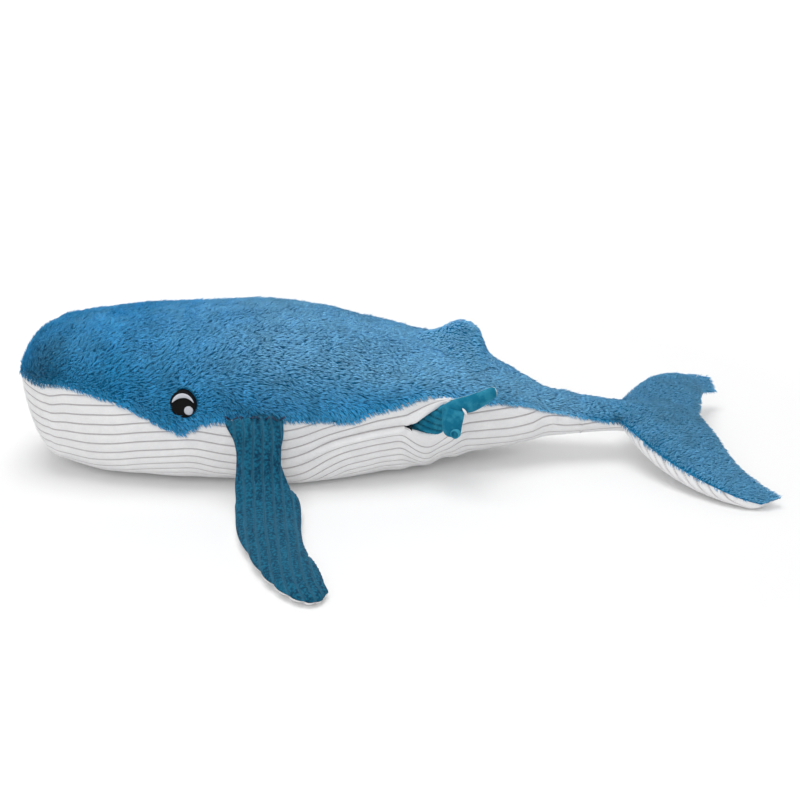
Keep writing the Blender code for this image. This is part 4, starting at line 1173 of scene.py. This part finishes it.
def grow_pile(points, normals, length, width, seed, droop):
    """Tufts of pile as one mesh: three-sided bent spikes, gathered into small clumps."""
    rng = np.random.default_rng(seed)
    count = len(points)
    lay = comb(points, normals, seed, droop)
    size = length * rng.uniform(0.75, 1.15, (count, 1)) * (1 + 0.18 * lumps(points, 0.02, seed + 9))[:, None]
    size = size * (1 - 0.12 * droop)[:, None]
    lift = 0.64 - 0.25 * droop - 0.13 * ease(points[:, 0], -0.12, 0.08)
    lift = lift + 0.14 * lumps(points, 0.007, seed + 11) + rng.normal(0, 0.08, count)
    lift = np.clip(lift, 0.3, 0.97)[:, None]
    flat = np.sqrt(1 - lift**2)
    root = points - normals * 0.0008
    middle = points + normals * size * 0.52 * np.sqrt(lift) + lay * size * 0.30 * flat
    tip = points + normals * size * lift + lay * size * flat
    chosen = rng.choice(count, max(1, count // 6), replace=False)
    tree = KDTree(len(chosen))
    for index in chosen:
        tree.insert(tip[index], int(index))
    tree.balance()
    nearest = np.array([tree.find(place)[1] for place in tip])
    pull = rng.uniform(0.12, 0.45, (count, 1))
    tip = tip + (tip[nearest] - tip) * pull
    middle = middle + (middle[nearest] - middle) * pull * 0.3
    beside = unit(np.cross(normals, tip - root))
    across = unit(np.cross(beside, tip - root))
    thick = width * rng.uniform(0.7, 1.25, (count, 1))
    corners = []
    for centre, share in ((root, 1.0), (middle, 0.85)):
        for turn in np.radians([90, 210, 330]):
            corners.append(centre + (beside * math.cos(turn) + across * math.sin(turn)) * thick * 0.5 * share)
    corners.append(tip)
    vertices = np.stack(corners, 1).reshape(-1, 3)
    # Random tone by clump and tuft, and painted shade where tufts stand up and where the pile droops at the
    # seams
    tone_and_shade = 0.5 + 0.12 * lumps(points, 0.011, seed + 20) + 0.09 * lumps(points, 0.04, seed + 21)
    tone_and_shade = tone_and_shade - 0.18 * (lift[:, 0] - 0.60) - 0.10 * droop + rng.normal(0, 0.07, count)
    tone_and_shade = 0.6 * tone_and_shade + 0.4 * tone_and_shade[nearest]
    # Painted shade at each place of SHADES, on both sides
    for place, dark, width in SHADES:
        for side in (1, -1):
            tone_and_shade = tone_and_shade - dark * hump(np.linalg.norm(points - np.array(place) * (1, side, 1), axis=1), width)
    # Painted light from above: paler where the pile faces up, more so behind the head, and less on the flukes
    painted_light = ease(points[:, 0], -0.28, -0.06) * (0.14 + 0.74 * ease(normals[:, 2], 0.0, 0.9))
    painted_light = painted_light + 0.10 * ease(normals[:, 2], 0.2, 0.9) + 0.10 * lumps(points, 0.03, seed + 22)
    values = {"along": np.tile([0, 0, 0, 0.55, 0.55, 0.55, 1.0], count)}
    values["tone_and_shade"] = np.repeat(np.clip(tone_and_shade, 0, 1), TUFT_POINTS)
    painted_light = np.clip(painted_light, 0, 0.85) * (1 - 0.34 * ease(points[:, 0], 0.16, 0.23))
    values["painted_light"] = np.repeat(painted_light, TUFT_POINTS)
    return vertices, values


def tuft_template():
    """One tuft's faces and their places in its cell of the UV map: three sides, and the root."""
    faces, spots = [], []
    for near in range(3):
        far = (near + 1) % 3
        left, right = near / 3, (near + 1) / 3
        faces += [(far, near, near + 3), (far, near + 3, far + 3), (far + 3, near + 3, 6)]
        spots.append(((right, 0.0), (left, 0.0), (left, 0.5)))
        spots.append(((right, 0.0), (left, 0.5), (right, 0.5)))
        spots.append(((right, 0.5), (left, 0.5), ((left + right) / 2, 1.0)))
    faces.append((0, 1, 2))
    spots.append(((0.02, 0.98), (0.10, 0.98), (0.06, 0.90)))
    return np.array(faces), np.array(spots)


def pile_piece(name, vertices, values):
    """An object of tufts with named values, and one small cell of the UV map for each."""
    count = len(vertices) // TUFT_POINTS
    tuft_faces, spots = tuft_template()
    faces = (tuft_faces[None] + TUFT_POINTS * np.arange(count)[:, None, None]).reshape(-1)
    mesh = bpy.data.meshes.new(name)
    mesh.vertices.add(len(vertices))
    mesh.vertices.foreach_set("co", vertices.astype(np.float32).reshape(-1))
    mesh.loops.add(len(faces))
    mesh.loops.foreach_set("vertex_index", faces.astype(np.int32))
    mesh.polygons.add(len(faces) // 3)
    mesh.polygons.foreach_set("loop_start", np.arange(0, len(faces), 3, dtype=np.int32))
    mesh.update(calc_edges=True)
    mesh.validate()
    uv = mesh.uv_layers.new(name="OFBake")
    side = int(math.ceil(math.sqrt(count)))
    cell = np.stack(np.divmod(np.arange(count), side), -1)[:, None, None] / side
    uv.data.foreach_set("uv", (cell + (spots * 0.86 + 0.07) / side).astype(np.float32).reshape(-1))
    for key, numbers in values.items():
        layer = mesh.attributes.new(key, "FLOAT", "POINT")
        layer.data.foreach_set("value", numbers.astype(np.float32))
    return link_mesh(name, mesh, FINISH["pile"])


def edge_share(spots, columns, width):
    """1 at both long edges of a grid, fading to 0 over a share of its columns."""
    return 1 - ease(0.5 - np.abs(spots / columns - 0.5), 0.0, width)


def on_eye(points, margin):
    """Which points lie under an embroidered eye."""
    away = np.hypot(points[:, 0] - EYE_X, points[:, 2] - EYE_HEIGHT)
    return (away < EYE_RADIUS - 0.0005 + margin) & (np.abs(points[:, 1]) > 0.03)


class WHALE_OT_pile(bpy.types.Operator):
    """Grow the long plush pile on the back, tail, fin and flukes"""

    bl_idname = "whale.pile"
    bl_label = "Pile"

    def execute(self, context):
        sizes = context.scene.whale_sizes
        spacing = sizes.tuft_spacing * 1.0
        width = sizes.tuft_width * 1.0
        points, normals = back_grid(NOSE, SPLIT_X)
        places, facing, spots = scatter(points, normals, spacing, 11)
        keep = ~on_eye(places, 0.0008)
        places, facing = places[keep], facing[keep]
        droop = edge_share(spots[keep, 1], points.shape[1] - 1, 0.05)
        for number, (first, last) in enumerate(zip(PILE_CUTS, PILE_CUTS[1:])):
            chosen = (places[:, 0] >= first) & (places[:, 0] < last)
            seed = PILE_SEED + number * PILE_SEED_STEP
            tufts = grow_pile(places[chosen], facing[chosen], sizes.pile_length, width, seed, droop[chosen])
            piece = pile_piece(f"back_pile_{number + 1}", *tufts)
            dress(piece, TAIL_BEND if last > 0.12 else "body", "blue_plush")
        fin = fin_grid()
        # Name, ground, its normals, seed of the places, width and depth of the droop, length, seed, body
        thin_parts = (
            ("tail_pile", *tail_grid(0.228), 12, 0.08, 1.0, 0.8, 300, FLUKE_BEND),
            ("fluke_pile", *top_fluke_grid(), 13, 0.07, 1.0, 0.68, 330, "flukes"),
            ("fin_pile", fin, normals_of(fin), 14, 0.07, 0.0, 0.65, 360, "body"),
        )
        for name, points, normals, place_seed, rim, sag, share, seed, body in thin_parts:
            places, facing, spots = scatter(points, normals, spacing, place_seed)
            droop = sag * edge_share(spots[:, 1], points.shape[1] - 1, rim)
            tufts = grow_pile(places, facing, sizes.pile_length * share, width, seed, droop)
            dress(pile_piece(name, *tufts), body, "blue_plush")
        return {"FINISHED"}


# ---- eyes


def back_surface(x, z, side, proud):
    """A point on the plush back's outer surface, standing proud of it."""
    half, _, widest, top, _, crown, _ = curve(TRUNK, (x - NOSE) / LENGTH)
    upward = np.clip((z / HEIGHT - widest) / (top - widest), 0, 1)
    across = (1 - upward**crown) ** (1 / crown)
    return np.stack([x, side * (across * half * HALF_WIDTH + proud), z], -1)


def eye_disc(name, centre, radius, side, proud, dome, finish):
    """A domed disc of satin stitch that follows the head."""
    turn = np.linspace(0, 2 * math.pi, 65)[None, :]
    share = np.array([0.0, 0.35, 0.62, 0.82, 0.93, 1.0, 1.0])[:, None]
    lift = proud + dome * np.sqrt(np.clip(1 - share**2, 0, 1)) - np.array([0, 0, 0, 0, 0, 0, 0.0035])[:, None]
    wobble = 1 + 0.012 * np.sin(turn * 5 + 1) + 0.01 * np.sin(turn * 23)
    x = centre[0] + radius * share * wobble * np.cos(turn)
    z = centre[1] + radius * share * wobble * np.sin(turn)
    points = back_surface(x, z, side, lift + 0 * turn)
    return grid_piece(name, [(points, {}, side < 0)], FINISH[finish])


def eye_crescent(name, side):
    """The pale crescent inside the upper part of the eye."""
    share = np.linspace(0, 1, 33)[:, None]
    angle = np.radians(16 + 152 * share)
    outer = EYE_RADIUS * 0.85
    bulge = np.sin(math.pi * share) ** 0.7
    middle = 0.0043 * (0.12 + 0.88 * bulge) * (0.75 + 0.5 * share * (1 - 0.4 * share))
    across = np.linspace(0, 1, 9)[None, :]
    radius = outer - middle * across
    x = EYE_X + radius * np.cos(angle)
    z = EYE_HEIGHT + radius * np.sin(angle)
    lift = 0.0014 + 0.0009 * np.sin(math.pi * across) ** 0.5 + 0 * share
    points = back_surface(x, z, side, lift)
    return grid_piece(name, [(points, {}, side < 0)], FINISH["pale"])


class WHALE_OT_eyes(bpy.types.Operator):
    """Embroider both eyes: a dark disc, a pale crescent and a glint"""

    bl_idname = "whale.eyes"
    bl_label = "Eyes"

    def execute(self, context):
        for name, side in (("left_eye", -1), ("right_eye", 1)):
            centre = (EYE_X, EYE_HEIGHT)
            disc = eye_disc(name + "_satin_disc", centre, EYE_RADIUS, side, -0.0008, 0.0022, "black")
            dress(disc, "body", "black_thread", name + "_disc", fill=0.4)
            crescent = eye_crescent(name + "_satin_crescent", side)
            dress(crescent, "body", "pale_thread", name + "_crescent")
            spot = (EYE_X + GLINT_BEHIND, EYE_HEIGHT - GLINT_BELOW)
            glint = eye_disc(name + "_satin_glint", spot, GLINT_RADIUS, side, 0.0010, 0.0012, "pale")
            dress(glint, "body", "pale_thread", name + "_glint")
        return {"FINISHED"}


# ---- pocket and baby


def slide_axes():
    """Directions out of the pocket, of the baby's width and of its back."""
    ahead = np.array((math.cos(SLIDE_TURN), math.sin(SLIDE_TURN), 0))
    outward = ahead * math.cos(SLIDE_TILT) + np.array((0, 0, 1)) * math.sin(SLIDE_TILT)
    back = np.array((math.sin(SLIDE_TURN), -math.cos(SLIDE_TURN), 0))
    return outward, np.cross(back, outward), back


class WHALE_OT_pocket(bpy.types.Operator):
    """Hang the lining of the pocket behind its slit"""

    bl_idname = "whale.pocket"
    bl_label = "Pocket"

    def execute(self, context):
        x = np.linspace(SLIT[0][0] + 0.0005, SLIT[-1][0] - 0.0005, 36)
        low, high, _ = slit_lips(x)
        cloth_map = BellyCloth(x)
        lips = []
        for heights, order in ((low - 0.004, slice(None)), (high + 0.003, slice(None, None, -1))):
            points, normals = cloth_map.at(cloth_map.reach_of(heights)[:, None])
            points, normals = points[:, 0] * (1, -1, 1), normals[:, 0] * (1, -1, 1)
            lips.append((points - normals * 0.006)[order])
        ring = np.concatenate(lips)
        ring = np.concatenate([ring, ring[:1]])
        outward, _, _ = slide_axes()
        centre = ring.mean(0)
        rings = []
        for depth, share in POUCH_RINGS:
            rings.append(centre + (ring - centre) * share - outward * depth)
        piece = grid_piece("pocket_pouch", [(np.stack(rings), {}, False)], FINISH["lining"])
        dress(piece, "body", "lining_cloth", "pocket_lining")
        return {"FINISHED"}


def baby_body_grid():
    """Points of the baby's body, from its nose to its tail, and painted shade in its creases and inside the
    pocket.
    """
    outward, width, back = slide_axes()
    nose = BABY_ROUND * (1 - np.cos(np.linspace(0, math.pi / 2, 8)))[:-1]
    place = np.concatenate([nose, np.arange(BABY_ROUND, BABY_LENGTH + 0.001, 0.002)])
    rounded = np.sqrt(np.clip(1 - (1 - place / BABY_ROUND) ** 2, 0, 1))
    rounded = np.where(place < BABY_ROUND, rounded, 1.0)
    wide, thick = curve(BABY, place / BABY_LENGTH)
    share = place / BABY_LENGTH
    bend = 0.22 * ease(share, 0.3, 0.6) + 0.78 * np.clip(4 * share - 3, 0, 1) ** 1.6
    centre = np.array(BABY_START) + place[:, None] * outward + (BABY_TAIL_LIFT * bend)[:, None] * width
    angle = np.linspace(0, 2 * math.pi, 73)
    across = (wide * BABY_HALF_WIDTH * rounded)[:, None] * np.cos(angle)
    upward = (thick * BABY_HALF_THICKNESS * rounded)[:, None] * np.sin(angle)
    points = centre[:, None] + across[..., None] * width + upward[..., None] * back
    out = unit(np.cos(angle)[:, None] * width + np.sin(angle)[:, None] * back)[None]
    wave = (place[:, None] + 1.1 * across) / 0.0085
    crease = np.abs((wave % 1.0) * 2 - 1) ** 5 * ease(place, 0.03, 0.06)[:, None]
    points = points + out * (0.0010 * lumps(points, 0.02, 31) - 0.0022 * crease)[..., None]
    # Painted shade: darker where the body lies inside the pocket, and in its creases
    pocket_shade = 0.55 * (1 - ease(share, 0.56, 0.80))[:, None]
    return points, pocket_shade + (1 - pocket_shade) * crease * 0.9


def rolled_edge(places, radius):
    """A thin roll of cloth along a few places, pointed at both ends."""
    count = 13
    table = [(index, *place) for index, place in enumerate(places)]
    line = np.stack(curve(table, np.linspace(0, len(places) - 1, count)), -1)
    ahead = unit(np.gradient(line, axis=0))
    beside = unit(np.cross(ahead, (0.3, 0.4, 0.9)))
    above = np.cross(beside, ahead)
    size = radius * np.sin(np.linspace(0, math.pi, count))[:, None] ** 0.6
    turn = np.linspace(0, 2 * math.pi, 11)
    ring = beside[:, None] * np.cos(turn)[:, None] + above[:, None] * np.sin(turn)[:, None]
    return line[:, None] + ring * size[..., None]


class WHALE_OT_baby(bpy.types.Operator):
    """Sew the baby whale whose flukes stick out of the pocket"""

    bl_idname = "whale.baby"
    bl_label = "Baby whale"

    def execute(self, context):
        points, crease = baby_body_grid()
        values = {"crease": crease, "edge": np.zeros_like(crease)}
        piece = grid_piece("baby_body", [(points, values, False)], FINISH["velour"])
        dress(piece, "baby", "teal_velour", "baby_back_cover", "baby_belly_cover", "baby_stuffing", fill=0.8)
        outward, width, back = slide_axes()
        axes = np.array((outward, width, back))
        root = np.array(BABY_START) + outward * BABY_LENGTH + width * BABY_TAIL_LIFT
        sizes = (BABY_FLUKE_LENGTH, BABY_FLUKE_HALF_SPAN, BABY_HALF_THICKNESS, BABY_FLUKE_HALF_THICKNESS)
        pieces = (
            ("baby_fluke_back", 1, "velour", ("baby_fluke_top_cover", "baby_fluke_stuffing")),
            ("baby_fluke_front", -1, "white", ("baby_fluke_under_cover",)),
        )
        for name, sign, finish, nodes in pieces:
            grid = fluke_grid(BABY_FLUKES, sizes, axes, root, sign, 110, 24)
            share = np.linspace(0, 1, grid.shape[1])[None, :] + 0 * grid[..., 0]
            along = np.linspace(0, 1, grid.shape[0])[:, None]
            rim = np.maximum(1 - ease(share, 0.0, 0.09), ease(share, 0.92, 1.0))
            rim = np.maximum(rim, np.maximum(1 - ease(along, 0.0, 0.03), ease(along, 0.97, 1.0)))
            if sign > 0:
                turn = np.linspace(0, 2 * math.pi, 33)[None, :]
                out = np.array([0.0, 0.3, 0.55, 0.68, 0.78, 0.88, 0.96, 1.0, 1.0])[:, None]
                rise = np.array([0.55, 0.5, 0.35, 0.55, 0.8, 0.85, 0.7, 0.45, -0.4])[:, None] * 0.004
                centre = root + np.array((0.0042, -0.0186, 0.0178)) @ axes
                knob = centre + (0.0046 * out * np.cos(turn))[..., None] * outward
                knob = knob + (0.0046 * out * np.sin(turn))[..., None] * width + rise[..., None] * back
                values = {"crease": 0 * rim, "edge": rim * 0.6}
                # Painted shade in the dent round the curled tip
                dent = 0.18 * hump(out - 0.55, 0.15) + 0 * turn
                ring = {"crease": dent, "edge": 0.8 * ease(out, 0.6, 0.95) + 0 * turn}
                grids = [(grid, values, False), (knob, ring, False)]
            else:
                edge = [(0.0125, 0.0030, 0.0085), (0.0148, -0.0005, 0.0092), (0.0155, -0.0050, 0.0085)]
                roll = rolled_edge([root + np.array(place) @ axes for place in edge], 0.0013)
                grids = [(grid, {"groove": 0 * rim}, True), (roll, {"groove": 0 * roll[..., 0]}, False)]
            piece = grid_piece(name, grids, FINISH[finish])
            slot = "teal_velour" if sign > 0 else "white_corduroy"
            dress(piece, "baby", slot, *nodes, fill=0.8)
        return {"FINISHED"}


# ---- stitches


class WHALE_OT_stitches(bpy.types.Operator):
    """Whip the flipper roots to the seam with dark blue thread"""

    bl_idname = "whale.stitches"
    bl_label = "Stitches"

    def execute(self, context):
        for name, side in (("left", -1), ("right", 1)):
            bpy.ops.object.select_all(action="DESELECT")
            made = []
            for number in range(STITCH_COUNT):
                x = FLIPPER_HINGE[0] + STITCH_START + STITCH_PITCH * number
                lean = 0.7 if number % 2 else -0.5
                inward = 0.0050 * (1 - float(ease(number, 0.0, 3.5)))
                place = (x, side * (0.1068 - inward), 0.0812 - 0.4 * inward)
                bpy.ops.mesh.primitive_cylinder_add(
                    vertices=8,
                    radius=STITCH_RADIUS,
                    depth=STITCH_LENGTH,
                    location=place,
                    rotation=(side * -0.75, lean, 0),
                )
                made.append(context.object)
            for stitch in made:
                stitch.select_set(True)
            bpy.ops.object.join()
            piece = context.object
            bpy.ops.object.transform_apply(location=True, rotation=True, scale=True)
            bpy.ops.object.shade_smooth_by_angle(angle=math.radians(50))
            piece.name = name + "_root_stitches"
            piece.data.materials.append(FINISH["thread"])
            dress(piece, "body", "blue_plush")
        return {"FINISHED"}


# ---- stage


class WHALE_OT_stage(bpy.types.Operator):
    """Set the pale floor, the soft lights and the camera"""

    bl_idname = "whale.stage"
    bl_label = "Stage"

    def execute(self, context):
        bpy.ops.object.select_all(action="DESELECT")
        bpy.ops.mesh.primitive_plane_add(size=12, location=(0, 0, 0))
        floor = context.object
        floor.name = "floor"
        made, tree, shader = new_material("Pale floor", 0.9)
        shader.inputs["Base Color"].default_value = (0.86, 0.86, 0.86, 1)
        seen = seen_directly(tree)
        place = object_place(tree)
        away = add_node(tree, "ShaderNodeVectorMath", {0: place}, operation="LENGTH").outputs["Value"]
        glow = math_node(tree, "MULTIPLY", seen, spread(tree, away, 0.45, 2.5, 0.10, 0.8))
        shader.inputs["Emission Color"].default_value = (1, 1, 1, 1)
        tree.links.new(glow, shader.inputs["Emission Strength"])
        floor.data.materials.append(made)
        world = bpy.data.worlds.new("Soft studio")
        context.scene.world = world
        world.use_nodes = True
        tree = world.node_tree
        sky = tree.nodes["Background"]
        seen = seen_directly(tree)
        sky.inputs["Color"].default_value = (1, 1, 1, 1)
        tree.links.new(spread(tree, seen, 0.0, 1.0, 0.55, 1.0), sky.inputs["Strength"])
        for name, place, size, watts in LIGHTS:
            bpy.ops.object.light_add(type="AREA", location=place)
            lamp = context.object
            lamp.name = name
            lamp.data.shape = "DISK"
            lamp.data.size = size
            lamp.data.energy = watts
            aim = Vector(LIGHT_TARGET) - Vector(place)
            lamp.rotation_euler = aim.to_track_quat("-Z", "Y").to_euler()
        away = Vector((0, -math.cos(CAMERA_TILT), math.sin(CAMERA_TILT)))
        place = Vector(CAMERA_TARGET) + CAMERA_DISTANCE * away
        bpy.ops.object.camera_add(location=place, rotation=(math.pi / 2 - CAMERA_TILT, 0, 0))
        camera = context.object
        camera.data.lens = 81
        camera.data.sensor_width = 36
        context.scene.camera = camera
        context.scene.view_settings.view_transform = "Standard"
        return {"FINISHED"}


# ---- settings and panel


def cloth_size(name, description, default):
    """A size setting."""
    return FloatProperty(name=name, description=description, default=default, unit="LENGTH")


def cloth_color(name, description, color):
    """A colour setting, given as the eye reads it."""
    return FloatVectorProperty(name=name, description=description, default=cloth(*color), subtype="COLOR")


class WhaleSizes(bpy.types.PropertyGroup):
    """Sizes of the fabrics"""

    rib_pitch: cloth_size("Rib pitch", "Corduroy rib to rib", 0.0095)
    pile_length: cloth_size("Pile length", "Length of a plush tuft", 0.0074)
    tuft_spacing: cloth_size("Tuft spacing", "Distance from tuft to tuft", 0.00128)
    tuft_width: cloth_size("Tuft width", "Width of a tuft at its root", 0.00098)


class WhaleColors(bpy.types.PropertyGroup):
    """Colours of the fabrics"""

    plush: cloth_color("Plush", "Blue of the long pile", (34, 172, 234))
    belly: cloth_color("Belly", "White of the belly corduroy", (240, 240, 241))
    flipper: cloth_color("Flipper", "Teal of the flipper corduroy", (2, 56, 84))
    baby: cloth_color("Baby whale", "Teal of the baby's velour", (4, 108, 140))


PIECE_OPERATORS = (
    WHALE_OT_belly,
    WHALE_OT_back,
    WHALE_OT_tail,
    WHALE_OT_flukes,
    WHALE_OT_fin,
    WHALE_OT_flippers,
    WHALE_OT_pile,
    WHALE_OT_eyes,
    WHALE_OT_pocket,
    WHALE_OT_baby,
    WHALE_OT_stitches,
    WHALE_OT_stage,
)


class WHALE_PT_panel(bpy.types.Panel):
    """Lists the whale's pieces"""

    bl_idname = "WHALE_PT_panel"
    bl_label = "Plush whale"
    bl_space_type = "VIEW_3D"
    bl_region_type = "UI"
    bl_category = "Plush whale"

    def draw(self, context):
        for group in (context.scene.whale_sizes, context.scene.whale_colors):
            for key in group.__annotations__:
                self.layout.prop(group, key)
        for operator in PIECE_OPERATORS:
            self.layout.operator(operator.bl_idname)


CLASSES = (WhaleSizes, WhaleColors, *PIECE_OPERATORS, WHALE_PT_panel)


def register():
    """Adds the settings, the operators and the panel."""
    for made in CLASSES:
        bpy.utils.register_class(made)
    bpy.types.Scene.whale_sizes = PointerProperty(type=WhaleSizes)
    bpy.types.Scene.whale_colors = PointerProperty(type=WhaleColors)


def unregister():
    """Takes them away again."""
    del bpy.types.Scene.whale_colors
    del bpy.types.Scene.whale_sizes
    for made in reversed(CLASSES):
        bpy.utils.unregister_class(made)


def main():
    """Builds the whale and its stage."""
    register()
    FINISH.update(whale_finishes())
    for operator in PIECE_OPERATORS:
        group, name = operator.bl_idname.split(".")
        getattr(getattr(bpy.ops, group), name)()


if __name__ == "__main__":
    main()
